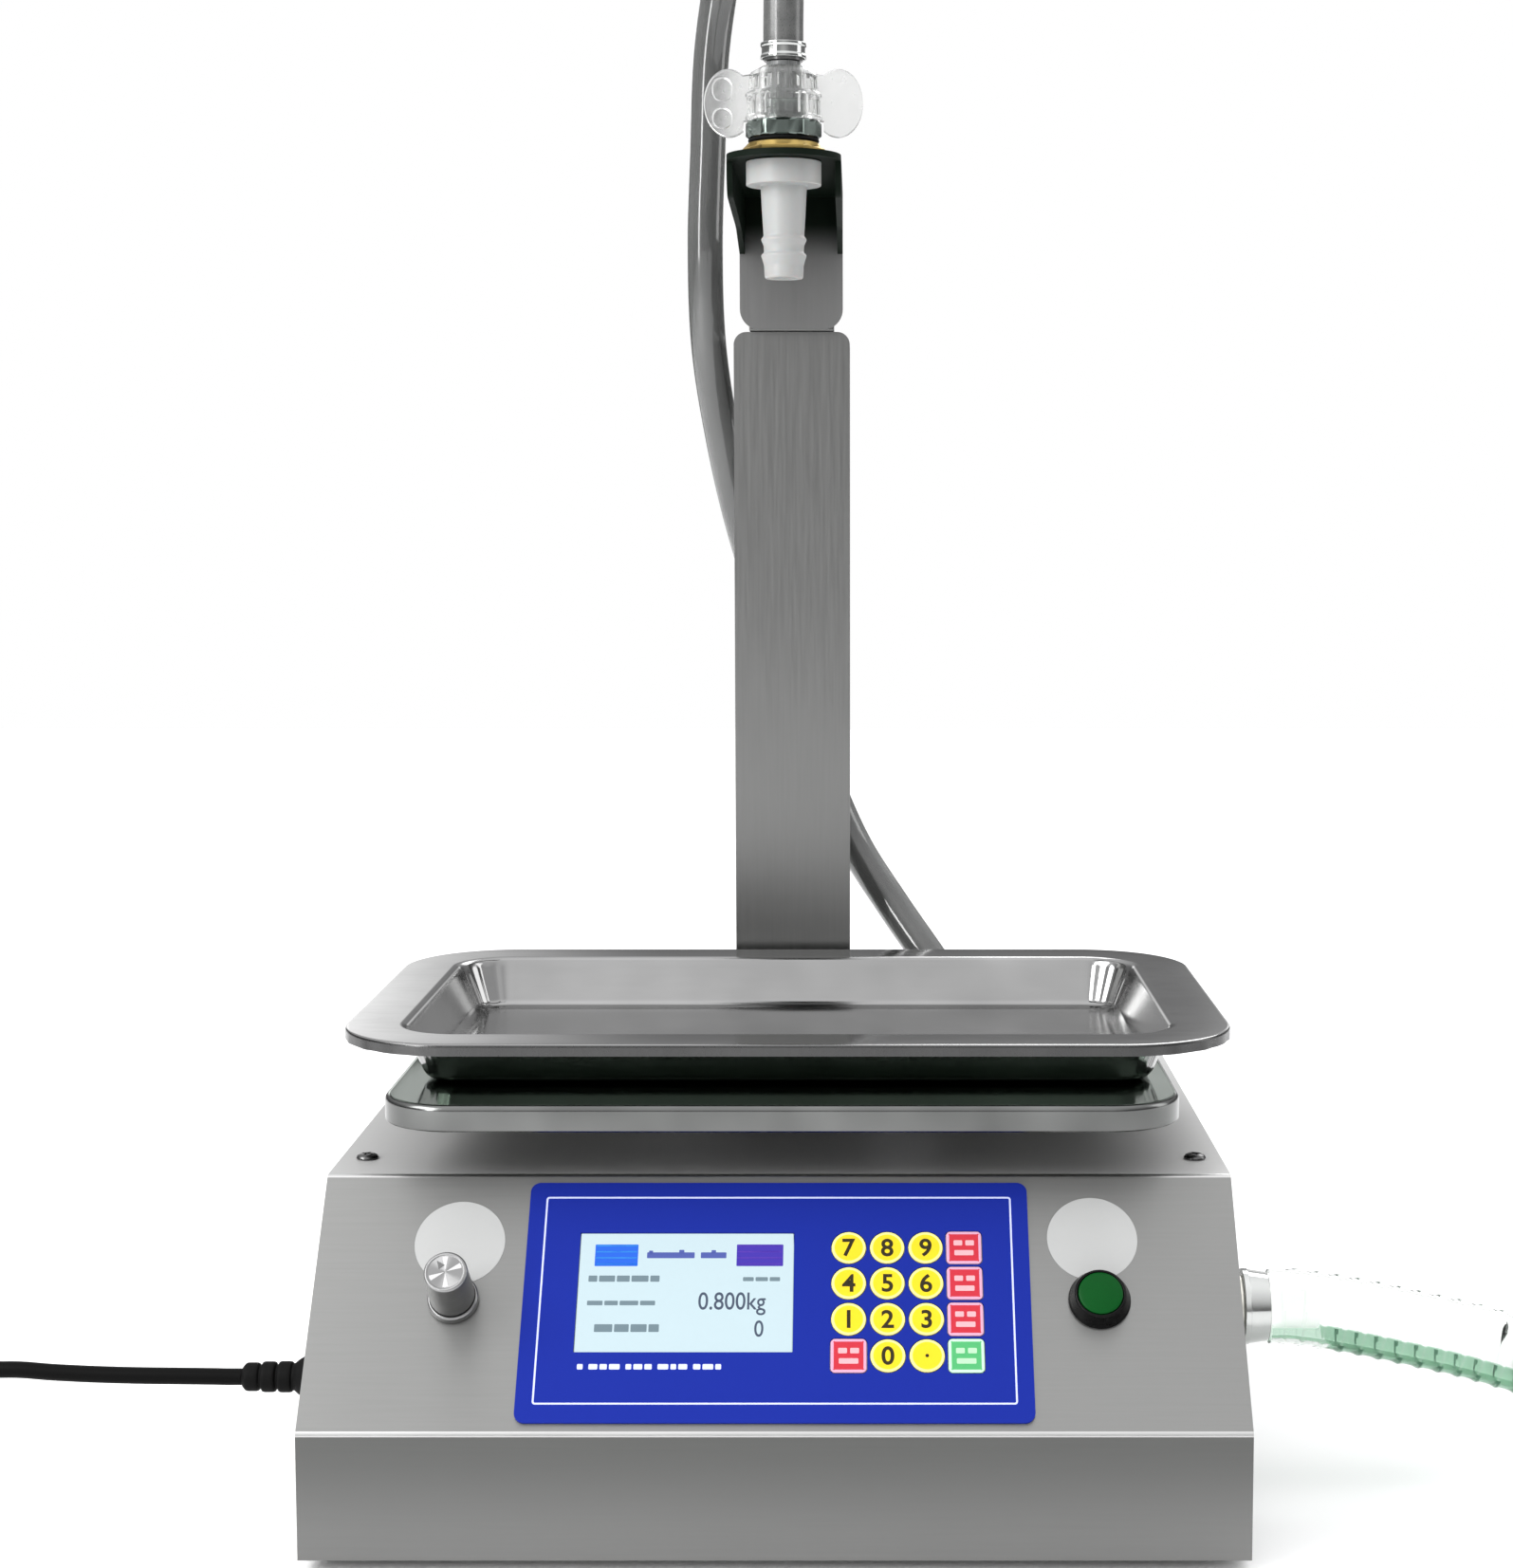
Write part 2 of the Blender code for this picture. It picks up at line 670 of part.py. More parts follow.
def cover_screws(parent, steel):
    for name, side in (("cover_screw_left", -1), ("cover_screw_right", 1)):
        profile = [
            (0, -SCREW_SHANK_LENGTH),
            (SCREW_SHANK_RADIUS, -SCREW_SHANK_LENGTH),
            (SCREW_SHANK_RADIUS, GAP),
            (SCREW_HEAD_RADIUS, GAP),
            (SCREW_HEAD_RADIUS, SCREW_HEAD_HEIGHT / 2),
            (SCREW_HEAD_RADIUS / 2, SCREW_HEAD_HEIGHT),
            (0, SCREW_HEAD_HEIGHT),
        ]
        solid(name, turned(profile, SMALL_ROUND), steel, parent, screw_spot(side))


def base_plate(parent, steel):
    inner = HALF_WIDTH - SHEET - GAP
    front = SHEET + GAP - HALF_DEPTH
    plate = block((-inner, front, FOOT_HEIGHT), (inner, HALF_DEPTH, FLOOR_Z))
    base = solid("base_plate", plate, steel, parent)
    left = -CELL_LENGTH / 2
    low = (left, PLATFORM_Y - CELL_SIDE / 2, FLOOR_Z - BASE_THICKNESS / 2)
    high = (left + CELL_BOSS_LENGTH, PLATFORM_Y + CELL_SIDE / 2, FLOOR_Z + CELL_BOSS_HEIGHT)
    return add(base, solid("cell_boss", block(low, high), steel, parent))


def rear_panel(parent, steel):
    inner = HALF_WIDTH - SHEET - GAP
    low = (-inner, HALF_DEPTH - SHEET, FLOOR_Z + GAP)
    return solid("rear_panel", block(low, (inner, HALF_DEPTH, TOP_Z - SHEET - GAP)), steel, parent)


def feet(parent, rubber):
    for front_name, sy in (("front", -1), ("rear", 1)):
        for side_name, sx in (("left", -1), ("right", 1)):
            spot = (sx * (HALF_WIDTH - FOOT_INSET), sy * (HALF_DEPTH - FOOT_INSET), 0)
            top = FOOT_HEIGHT - GAP
            profile = [(FOOT_RADIUS - GAP, 0), (FOOT_RADIUS, top / 2), (FOOT_RADIUS, top)]
            solid(f"foot_{front_name}_{side_name}", turned(profile), rubber, parent, spot)


# Controls on the slope
def key_places():
    for k, key in enumerate(KEYS):
        x = KEY_X + (k % 4 - 1.5) * KEY_PITCH
        rise = KEY_RISE - (k // 4 - 1.5) * KEY_PITCH
        yield key, (x, rise, 0)


def key_outline(key, grow):
    if key in SQUARE_KEYS:
        half = KEY_SIDE / 2 + grow
        return rounded(half, half, KEY_CORNER + grow, SMALL_CORNER_STEPS)
    return arc((0, 0), KEY_RADIUS + grow, 0, 2 * math.pi, KEY_ROUND)[:-1]


def overlay(slope, blue):
    sheet = rounded(OVERLAY_WIDTH / 2, OVERLAY_HEIGHT / 2, OVERLAY_CORNER, centre=(0, OVERLAY_RISE))
    panel = solid("keypad_overlay", extruded(sheet, GAP, OVERLAY_THICKNESS), blue, slope)
    window = rounded(DISPLAY_WIDTH / 2 + GAP, DISPLAY_HEIGHT / 2 + GAP, GAP, 1)
    cutter = extruded(window, -OVERRUN, OVERLAY_THICKNESS + OVERRUN)
    cut(panel, solid("glass_cut", cutter, blue, slope, (DISPLAY_X, DISPLAY_RISE, 0)))
    for key, spot in key_places():
        cutter = extruded(key_outline(key, GAP), -OVERRUN, OVERLAY_THICKNESS + OVERRUN)
        cut(panel, solid(f"key_cut_{key}", cutter, blue, slope, spot))


def keys(slope, yellow, red, green):
    low = GAP + KEY_TRAVEL
    top = OVERLAY_THICKNESS + KEY_PROUD
    for key, spot in key_places():
        rings = []
        for inset, height in ((0, low), (0, OVERLAY_THICKNESS), (KEY_PROUD, top)):
            rings.append([(x, y, height) for x, y in key_outline(key, -inset)])
        finish = green if key == "e" else red if key in SQUARE_KEYS else yellow
        solid(f"key_{key}", skin(rings), finish, slope, spot)


def display(slope, glass):
    outline = rounded(DISPLAY_WIDTH / 2, DISPLAY_HEIGHT / 2, GAP, 1)
    body = extruded(outline, -DISPLAY_DEPTH, OVERLAY_THICKNESS - DISPLAY_SUNK)
    solid("display", body, glass, slope, (DISPLAY_X, DISPLAY_RISE, 0))


def control_board(slope, laminate):
    top = -DISPLAY_DEPTH - GAP
    half_x, half_y = BOARD_WIDTH / 2, BOARD_HEIGHT / 2
    low = (-half_x, OVERLAY_RISE - half_y, top - BOARD_THICKNESS)
    board = solid("control_board", block(low, (half_x, OVERLAY_RISE + half_y, top)), laminate, slope)
    post = rod(STANDOFF_RADIUS, top - BOARD_THICKNESS / 2, -SHEET - GAP, HEXAGON)
    for sx in (-1, 1):
        for sy in (-1, 1):
            x = sx * (half_x - STANDOFF_INSET)
            spot = (x, OVERLAY_RISE + sy * (half_y - STANDOFF_INSET), 0)
            add(board, solid("standoff", post.copy(), laminate, slope, spot))
    post.free()


def potentiometer(slope, brass):
    profile = [
        (0, -SHEET - GAP - POT_DEPTH),
        (POT_RADIUS, -SHEET - GAP - POT_DEPTH),
        (POT_RADIUS, -SHEET - GAP),
        (BUSH_RADIUS, -SHEET - GAP),
        (BUSH_RADIUS, BUSH_TOP),
        (SHAFT_RADIUS, BUSH_TOP),
        (SHAFT_RADIUS, SHAFT_TOP),
        (0, SHAFT_TOP),
    ]
    solid("potentiometer", turned(profile), brass, slope, (KNOB_X, KNOB_RISE, 0))


def flow_knob(slope, aluminium):
    top = KNOB_LIFT + KNOB_HEIGHT
    skirt = KNOB_LIFT + KNOB_SKIRT_HEIGHT
    profile = [
        (0, SHAFT_TOP + GAP),
        (SHAFT_RADIUS + GAP, SHAFT_TOP + GAP),
        (SHAFT_RADIUS + GAP, BUSH_TOP + PLAY),
        (BUSH_RADIUS + PLAY, BUSH_TOP + PLAY),
        (BUSH_RADIUS + PLAY, KNOB_LIFT),
        (KNOB_SKIRT_RADIUS, KNOB_LIFT),
        (KNOB_SKIRT_RADIUS, skirt),
        (KNOB_RADIUS, skirt),
        (KNOB_TOP_RADIUS, top - KNOB_EDGE),
        (KNOB_TOP_RADIUS - KNOB_EDGE, top),
        (0, top),
    ]
    solid("flow_knob", turned(profile), aluminium, slope, (KNOB_X, KNOB_RISE, 0))


def start_button(slope, black, green):
    floor = BEZEL_HEIGHT + CAP_PROUD - CAP_HEIGHT - CAP_TRAVEL - GAP
    nut_top = -SHEET - GAP
    profile = [
        (0, -SWITCH_DEPTH),
        (SWITCH_RADIUS, -SWITCH_DEPTH),
        (SWITCH_RADIUS, nut_top - SWITCH_NUT_THICKNESS),
        (SWITCH_NUT_RADIUS, nut_top - SWITCH_NUT_THICKNESS),
        (SWITCH_NUT_RADIUS, nut_top),
        (SWITCH_RADIUS, nut_top),
        (SWITCH_RADIUS, GAP),
        (BEZEL_RADIUS, GAP),
        (BEZEL_RADIUS, BEZEL_HEIGHT / 4),
        (BEZEL_TOP_RADIUS, BEZEL_HEIGHT),
        (CAP_RADIUS + GAP, BEZEL_HEIGHT),
        (CAP_RADIUS + GAP, floor),
        (0, floor),
    ]
    spot = (BUTTON_X, BUTTON_RISE, 0)
    solid("start_button_body", turned(profile), black, slope, spot)
    low = floor + CAP_TRAVEL + GAP
    top = low + CAP_HEIGHT
    profile = [(0, low), (CAP_RADIUS, low), (CAP_RADIUS, top)]
    for share, drop_share in ((0.7, 0.35), (0.4, 0.12)):
        profile.append((CAP_RADIUS * share, top + CAP_DOME * (1 - drop_share)))
    profile.append((0, top + CAP_DOME))
    solid("start_button_cap", turned(profile), green, slope, spot)


# Weighing group
def post_x():
    return CELL_LENGTH / 2 - POST_SIDE / 2


def load_cell(parent, aluminium):
    bottom = FLOOR_Z + CELL_BOSS_HEIGHT + GAP
    half, side = CELL_LENGTH / 2, CELL_SIDE / 2
    bar = block((-half, PLATFORM_Y - side, bottom), (half, PLATFORM_Y + side, bottom + CELL_SIDE))
    cell = solid("load_cell", bar, aluminium, parent)
    middle = (0, PLATFORM_Y, bottom + side)
    slot = [(-CELL_HOLE_SPREAD / 2, -CELL_SLOT / 2), (CELL_HOLE_SPREAD / 2, -CELL_SLOT / 2)]
    slot += [(x, -y) for x, y in reversed(slot)]
    opening = solid(
        "cell_slot_cut",
        extruded(slot, -side - OVERRUN, side + OVERRUN),
        aluminium,
        parent,
        middle,
        (QUARTER, 0, 0),
    )
    cut(cell, opening)
    for sx in (-1, 1):
        spot = (sx * CELL_HOLE_SPREAD / 2, PLATFORM_Y, bottom + side)
        hole = rod(CELL_HOLE_RADIUS, -side - OVERRUN, side + OVERRUN, SMALL_ROUND)
        cut(cell, solid("cell_hole_cut", hole, aluminium, parent, spot, (QUARTER, 0, 0)))


def platform_spider(parent, aluminium):
    top = PLATFORM_TOP - PLATFORM_SHEET - GAP
    low = FLOOR_Z + CELL_BOSS_HEIGHT + CELL_SIDE + 2 * GAP
    half, post = SPIDER_SIDE / 2, POST_SIDE / 2
    plate = rounded(half + POST_SIDE / 2, half, POST_CLEARANCE, centre=(0, PLATFORM_Y))
    spider = solid(
        "platform_spider", extruded(plate, top - SPIDER_THICKNESS, top), aluminium, parent
    )
    corner_low = (post_x() - post, PLATFORM_Y - post, low)
    corner_high = (post_x() + post, PLATFORM_Y + post, top - SPIDER_THICKNESS / 2)
    add(spider, solid("spider_post", block(corner_low, corner_high), aluminium, parent))


def weigh_platform(parent, steel):
    low = PLATFORM_TOP - PLATFORM_LIP
    wall = PLATFORM_SHEET
    edge = PLATFORM_EDGE * (1 - math.cos(QUARTER / 2))
    profile = [
        (PLATFORM_CORNER, PLATFORM_TOP),
        (PLATFORM_EDGE, PLATFORM_TOP),
        (edge, PLATFORM_TOP - edge),
        (0, PLATFORM_TOP - PLATFORM_EDGE),
        (0, low),
        (wall, low),
        (wall, PLATFORM_TOP - PLATFORM_EDGE),
        (PLATFORM_EDGE, PLATFORM_TOP - wall),
        (PLATFORM_CORNER, PLATFORM_TOP - wall),
    ]
    half_x, half_y = PLATFORM_WIDTH / 2, PLATFORM_DEPTH / 2
    pan = dish(half_x, half_y, PLATFORM_CORNER, profile, PLATFORM_SHEET, PLATFORM_Y)
    solid("weigh_platform", pan, steel, parent, (PLATFORM_X, 0, 0))


def tray(parent, steel):
    rim = TRAY_FLOOR + TRAY_HEIGHT
    wall = TRAY_SHEET
    foot = TRAY_RIM + TRAY_DRAFT
    slant = TRAY_DRAFT / 4
    profile = [
        (foot + TRAY_CORNER, TRAY_FLOOR),
        (foot, TRAY_FLOOR),
        (foot - slant, TRAY_FLOOR + TRAY_FLOOR_FALL),
        (TRAY_RIM + slant / 2, rim - TRAY_FLOOR_FALL - wall),
        (TRAY_RIM, rim - wall),
        (wall, rim - wall),
        (wall, rim - TRAY_LIP),
        (0, rim - TRAY_LIP),
        (0, rim - wall),
        (wall, rim),
        (TRAY_RIM + wall, rim),
        (TRAY_RIM + slant / 2 + wall, rim - TRAY_FLOOR_FALL),
        (foot - slant + wall, TRAY_FLOOR + TRAY_FLOOR_FALL + wall),
        (foot + wall, TRAY_FLOOR + wall),
        (foot + TRAY_CORNER, TRAY_FLOOR + wall),
    ]
    pan = dish(TRAY_WIDTH / 2, TRAY_DEPTH / 2, TRAY_CORNER, profile, TRAY_LIP, TRAY_Y)
    solid("tray", pan, steel, parent, (TRAY_X, 0, 0))


# Column and arm
def column(parent, steel):
    half = COLUMN_WIDTH / 2
    corners = [(-half, COLUMN_FOOT_Z), (half, COLUMN_FOOT_Z), (half, COLUMN_TOP), (-half, COLUMN_TOP)]
    face = filleted(corners, (0, 0, COLUMN_SHOULDER, COLUMN_SHOULDER), CORNER_STEPS)
    spot = (0, COLUMN_Y, 0)
    upright = (QUARTER, 0, 0)
    depth = COLUMN_DEPTH / 2
    post = solid("column", extruded(face, -depth, depth), steel, parent, spot, upright)
    foot_half = COLUMN_FOOT_WIDTH / 2
    low = (-foot_half, COLUMN_FRONT - COLUMN_FOOT_MARGIN, COLUMN_FOOT_Z)
    back = COLUMN_FRONT + COLUMN_DEPTH + COLUMN_FOOT_MARGIN
    foot = block(low, (foot_half, back, COLUMN_FOOT_Z + COLUMN_FOOT_THICKNESS))
    add(post, solid("column_foot", foot, steel, parent))
    inner, deep = half - COLUMN_WALL, depth - COLUMN_WALL
    low = (-inner, COLUMN_Y - deep, COLUMN_FOOT_Z - OVERRUN)
    cavity = block(low, (inner, COLUMN_Y + deep, COLUMN_TOP - COLUMN_CAP))
    cut(post, solid("column_cavity", cavity, steel, parent))
    slot_x, slot_y = BAR_WIDTH / 2 + PLAY, BAR_DEPTH / 2 + PLAY
    low = (-slot_x, COLUMN_Y - slot_y, COLUMN_TOP - COLUMN_CAP - OVERRUN)
    slot = block(low, (slot_x, COLUMN_Y + slot_y, COLUMN_TOP + OVERRUN))
    cut(post, solid("bar_slot", slot, steel, parent))
    hole = rod(CLAMP_SCREW_RADIUS + GAP, 0, COLUMN_DEPTH / 2 + OVERRUN, SMALL_ROUND)
    spot = (0, COLUMN_Y, COLUMN_TOP - CLAMP_DROP)
    cut(post, solid("clamp_hole", hole, steel, parent, spot, (-QUARTER, 0, 0)))


def arm_bar(parent, steel):
    half_x, half_y = BAR_WIDTH / 2, BAR_DEPTH / 2
    low = (-half_x, COLUMN_Y - half_y, COLUMN_TOP - BAR_LENGTH)
    high = (half_x, COLUMN_Y + half_y, COLUMN_TOP + HEAD_HEIGHT)
    bar = solid("arm_bar", block(low, high), steel, parent)
    low = (-half_x, ARM_BACK + GAP, COLUMN_TOP + GAP)
    head = block(low, (half_x, COLUMN_Y, COLUMN_TOP + HEAD_HEIGHT))
    add(bar, solid("bar_head", head, steel, parent))


def arm_clamp_knob(parent, black):
    count = CLAMP_LOBES * 4
    rings = []
    start = CLAMP_HUB_LENGTH
    for height in (start, start + CLAMP_THICKNESS):
        ring = []
        for k in range(count):
            a = 2 * math.pi * k / count
            radius = CLAMP_RADIUS - CLAMP_LOBE_DEPTH * (1 - math.cos(CLAMP_LOBES * a)) / 2
            ring.append((radius * math.cos(a), radius * math.sin(a), height))
        rings.append(ring)
    spot = (0, COLUMN_FRONT + COLUMN_DEPTH + PLAY, COLUMN_TOP - CLAMP_DROP)
    turn = (-QUARTER, 0, 0)
    knob = solid("arm_clamp_knob", skin(rings), black, parent, spot, turn)
    tip = COLUMN_Y + BAR_DEPTH / 2 + GAP - spot[1]
    screw = turned(
        [
            (CLAMP_SCREW_RADIUS, tip),
            (CLAMP_SCREW_RADIUS, 0),
            (CLAMP_HUB_RADIUS, 0),
            (CLAMP_HUB_RADIUS, start + CLAMP_THICKNESS / 2),
        ],
        SMALL_ROUND,
    )
    add(knob, solid("clamp_screw", screw, black, parent, spot, turn))


def arm_bracket(parent, steel):
    half = ARM_WIDTH / 2
    back = ARM_BACK
    shelf = arc((0, NOZZLE_Y), half, -2 * QUARTER, 0, 2 * CORNER_STEPS)
    shelf += [(half, back), (-half, back)]
    bracket = solid("arm_bracket", extruded(shelf, SHELF_BOTTOM, ARM_TOP), steel, parent)
    low = ARM_TOP - ARM_PLATE_DROP
    corners = [(-half, low), (half, low), (half, ARM_TOP - GAP), (-half, ARM_TOP - GAP)]
    face = filleted(corners, (ARM_PLATE_CORNER, ARM_PLATE_CORNER, 0, 0), CORNER_STEPS)
    plate = extruded(face, 0, ARM_SHEET)
    add(bracket, solid("back_plate", plate, steel, parent, (0, back, 0), (QUARTER, 0, 0)))
    front = NOZZLE_Y + GAP
    flange = [
        (front, ARM_TOP - GAP),
        (front, ARM_TOP - FLANGE_FRONT_DROP),
        (back - ARM_SHEET / 2, ARM_TOP - FLANGE_BACK_DROP),
        (back - ARM_SHEET / 2, ARM_TOP - GAP),
    ]
    for side in (-1, 1):
        start, end = sorted((side * half, side * (half - ARM_SHEET)))
        wall = extruded(flange, start, end)
        add(bracket, solid("side_flange", wall, steel, parent, rotation=ALONG_X))
    hole = rod(STUD_RADIUS + GAP, SHELF_BOTTOM - OVERRUN, ARM_TOP + OVERRUN)
    cut(bracket, solid("stud_hole", hole, steel, parent, (0, NOZZLE_Y, 0)))


# Nozzle stack
def nozzle(stack, nylon):
    top = SHELF_BOTTOM - GAP
    flange = top - FLANGE_HEIGHT
    tip = flange - NOZZLE_TAIL_LENGTH
    first = tip + NOZZLE_TIP_LENGTH
    second = first + NOZZLE_BARB_PITCH
    dip = NOZZLE_TAIL_RADIUS - NOZZLE_BARB_DIP
    profile = [
        (NOZZLE_BORE, tip),
        (NOZZLE_TIP_RADIUS, tip),
        (NOZZLE_TIP_RADIUS, tip + NOZZLE_TIP_LENGTH / 2),
        (NOZZLE_BARB_RADIUS, first),
        (dip, first + NOZZLE_BARB_PITCH / 8),
        (NOZZLE_BARB_RADIUS, second),
        (NOZZLE_TAIL_RADIUS, second + NOZZLE_BARB_PITCH / 8),
        (NOZZLE_NECK_RADIUS, flange),
        (FLANGE_RADIUS, flange),
        (FLANGE_RADIUS, top),
        (STUD_RADIUS, top),
        (STUD_RADIUS, HEX_Z - GAP),
        (NOZZLE_BORE, HEX_Z - GAP),
    ]
    solid("nozzle", turned(profile, closed=True), nylon, stack)


def nozzle_nut(stack, brass):
    half = NUT_HEIGHT / 2
    inner = STUD_RADIUS + GAP
    rings = []
    for radius, height in (
        (inner, 0),
        (NUT_RADIUS - half / 2, 0),
        (NUT_RADIUS, half / 2),
        (NUT_RADIUS, half),
        (NUT_RADIUS - half, NUT_HEIGHT),
        (inner, NUT_HEIGHT),
    ):
        sides = ROUND if radius == inner else HEXAGON
        rings.append(ring_of(radius, sides, NUT_Z + height))
    solid("nozzle_nut", skin(rings, closed=True), brass, stack)


def ring_of(radius, sides, height):
    """A ring of ROUND points on a circle or on a regular polygon's sides."""
    points = []
    for k in range(ROUND):
        a = 2 * math.pi * k / ROUND
        within = a % (2 * math.pi / sides) - math.pi / sides
        reach = radius * (math.cos(math.pi / sides) / math.cos(within) if sides < ROUND else 1)
        points.append((reach * math.cos(a), reach * math.sin(a), height))
    return points


def sealing_ring(stack, rubber):
    half = RING_SECTION / 2
    centre = RING_RADIUS - half
    profile = [(centre + x, RING_Z + half + z) for x, z in arc((0, 0), half, 0, 4 * QUARTER, 6)[:-1]]
    solid("sealing_ring", turned(profile, closed=True), rubber, stack)


def hex_adapter(stack, chrome):
    top = HEX_Z + ADAPTER_STUD_LENGTH
    rings = [
        ring_of(NOZZLE_BORE, ROUND, HEX_Z),
        ring_of(HEX_RADIUS, HEXAGON, HEX_Z),
        ring_of(HEX_RADIUS, HEXAGON, HEX_Z + HEX_HEIGHT),
        ring_of(ADAPTER_STUD_RADIUS, ROUND, HEX_Z + HEX_HEIGHT),
        ring_of(ADAPTER_STUD_RADIUS, ROUND, top),
        ring_of(NOZZLE_BORE, ROUND, top),
    ]
    solid("hex_adapter", skin(rings, closed=True), chrome, stack)


def wing_nut(stack, clear):
    top = WING_Z + WING_HEIGHT
    middle = WING_Z + WING_HEIGHT / 2
    cavity = ADAPTER_STUD_RADIUS + PLAY
    roof = TAIL_Z + TAIL_FLANGE_THICKNESS + GAP
    profile = [
        (cavity, WING_Z),
        (WING_CORE_RADIUS, WING_Z),
        (WING_CORE_RADIUS, middle),
        (WING_TIER_RADIUS, middle),
        (WING_TIER_RADIUS, top),
        (TAIL_RADIUS + PLAY, top),
        (TAIL_RADIUS + PLAY, roof),
        (cavity, roof),
    ]
    nut = solid("wing_nut", turned(profile, closed=True), clear, stack)
    root = WING_TIER_RADIUS - WING_WALL / 2
    hang = HEX_RADIUS + WING_EAR_CLEARANCE
    high = top + WING_EAR_RISE
    low = high - WING_EAR_HEIGHT
    corners = [
        (root, WING_Z),
        (hang, WING_Z),
        (hang, low),
        (WING_REACH, low),
        (WING_REACH, high),
        (root, high),
    ]
    inner, outer = WING_EAR_INNER_CORNER, WING_EAR_CORNER
    outline = filleted(corners, (0, 0, inner, outer, outer, inner))
    thick = WING_EAR_THICKNESS / 2
    for side, turn in (("right", 0), ("left", 2 * QUARTER)):
        ear = extruded(outline, -thick, thick)
        add(nut, solid(f"ear_{side}", ear, clear, stack, rotation=(QUARTER, 0, turn)))


def hose_tail(stack, clear):
    flange = ADAPTER_STUD_RADIUS
    top = HOSE_START - GAP
    profile = [
        (TAIL_BORE, TAIL_Z),
        (flange, TAIL_Z),
        (flange, TAIL_Z + TAIL_FLANGE_THICKNESS),
        (TAIL_RADIUS, TAIL_Z + TAIL_FLANGE_THICKNESS),
        (TAIL_RADIUS, top),
        (TAIL_BORE, top),
    ]
    solid("hose_tail", turned(profile, closed=True), clear, stack)


def hose_clamp(stack, steel):
    inner = HOSE_RADIUS + GAP
    outer = inner + CLAMP_RING_WALL
    low = HOSE_START + CLAMP_RING_OFFSET
    high = low + CLAMP_RING_HEIGHT
    profile = [(inner, low), (outer, low), (outer, high), (inner, high)]
    ring = solid("hose_clamp", turned(profile, closed=True), steel, stack)
    inset = CLAMP_RING_WALL / 4
    box = block(
        (-CLAMP_EAR / 2, inner + inset, low + inset),
        (CLAMP_EAR / 2, outer + CLAMP_EAR, high - inset),
    )
    add(ring, solid("clamp_ear", box, steel, stack))


# Liquid path
def output_hose(parent, clear):
    start = Vector((0, NOZZLE_Y, HOSE_START))
    end = Vector((OUTLET_X, OUTLET_Y, OUTLET_TOP + GAP))
    route = [start, *OUTPUT_ROUTE, end + Vector((0, 0, HOSE_RADIUS)), end]
    line = smooth_line(route, 4 * HOSE_RADIUS)
    line[1].x, line[1].y = start.x, start.y
    line[-2].x, line[-2].y = end.x, end.y
    tube("output_hose", line, HOSE_RADIUS, clear, parent)
    print(f"output hose length {length_of(smooth_line(route, HOSE_RADIUS)):.4f}")


def outlet_fitting(parent, steel):
    spot = (OUTLET_X, OUTLET_Y, TOP_Z)
    hex_top = GAP + OUTLET_HEX_HEIGHT
    bottom = -OUTLET_ELBOW_DROP - OUTLET_STUB_RADIUS
    rings = [
        ring_of(OUTLET_STUB_RADIUS, ROUND, bottom),
        ring_of(OUTLET_STUB_RADIUS, ROUND, GAP),
        ring_of(OUTLET_HEX_RADIUS, HEXAGON, GAP),
        ring_of(OUTLET_HEX_RADIUS, HEXAGON, hex_top),
        ring_of(OUTLET_NECK_RADIUS, ROUND, hex_top),
        ring_of(OUTLET_NECK_RADIUS, ROUND, OUTLET_TOP - TOP_Z),
    ]
    fitting = solid("outlet_fitting", skin(rings), steel, parent, spot)
    elbow = rod(OUTLET_STUB_RADIUS - GAP, 0, OUTLET_ELBOW_LENGTH, SMALL_ROUND)
    spot = (OUTLET_X, OUTLET_Y, TOP_Z - OUTLET_ELBOW_DROP)
    add(fitting, solid("elbow", elbow, steel, parent, spot, (QUARTER, 0, 0)))


def inlet_fitting(parent, chrome):
    x = GAP
    stub = -SHEET - INLET_STUB_LENGTH
    profile = [(0, stub), (INLET_STUB_RADIUS, stub), (INLET_STUB_RADIUS, x)]
    for radius, end_radius, length in (
        (INLET_NUT_RADIUS, INLET_NUT_RADIUS, INLET_NUT_LENGTH),
        (INLET_FLANGE_RADIUS, INLET_FLANGE_RADIUS, INLET_FLANGE_LENGTH),
        (INLET_BODY_RADIUS, INLET_BODY_END_RADIUS, INLET_BODY_LENGTH),
        (INLET_BARB_RADIUS, INLET_BARB_RADIUS, INLET_BARB_LENGTH),
    ):
        profile.append((radius, x))
        x += length
        profile.append((end_radius, x))
    profile.append((0, x))
    spot = (HALF_WIDTH, INLET_Y, INLET_Z)
    solid("inlet_fitting", turned(profile), chrome, parent, spot, (0, QUARTER, 0))


def suction_line():
    """The hose's middle line: along its route, round a loop on the table, to the strainer."""
    start = Vector((INLET_END + GAP, INLET_Y, INLET_Z))
    straight = start + Vector((SUCTION_RADIUS / 2, 0, 0))
    side = Vector((HALF_WIDTH, 0, 0))
    free = [side + Vector(p) for p in SUCTION_ROUTE]
    last = free[-1]
    middle = last + Vector((0, SUCTION_LOOP_RADIUS, 0))
    steps = 18
    outer = [
        middle + SUCTION_LOOP_RADIUS * Vector((math.sin(a), -math.cos(a), 0))
        for a in (math.pi * k / steps for k in range(1, steps + 1))
    ]
    top = outer[-1]
    middle = top - Vector((0, SUCTION_INNER_RADIUS, 0))
    inner = [
        middle + SUCTION_INNER_RADIUS * Vector((-math.sin(a), math.cos(a), 0))
        for a in (SUCTION_INNER_TURN * k / steps for k in range(1, steps + 1))
    ]
    heading = Vector((-math.cos(SUCTION_INNER_TURN), -math.sin(SUCTION_INNER_TURN), 0))
    end = inner[-1] + heading * 2 * SUCTION_RADIUS
    return [start, straight, *free, *outer, *inner, end], end, heading


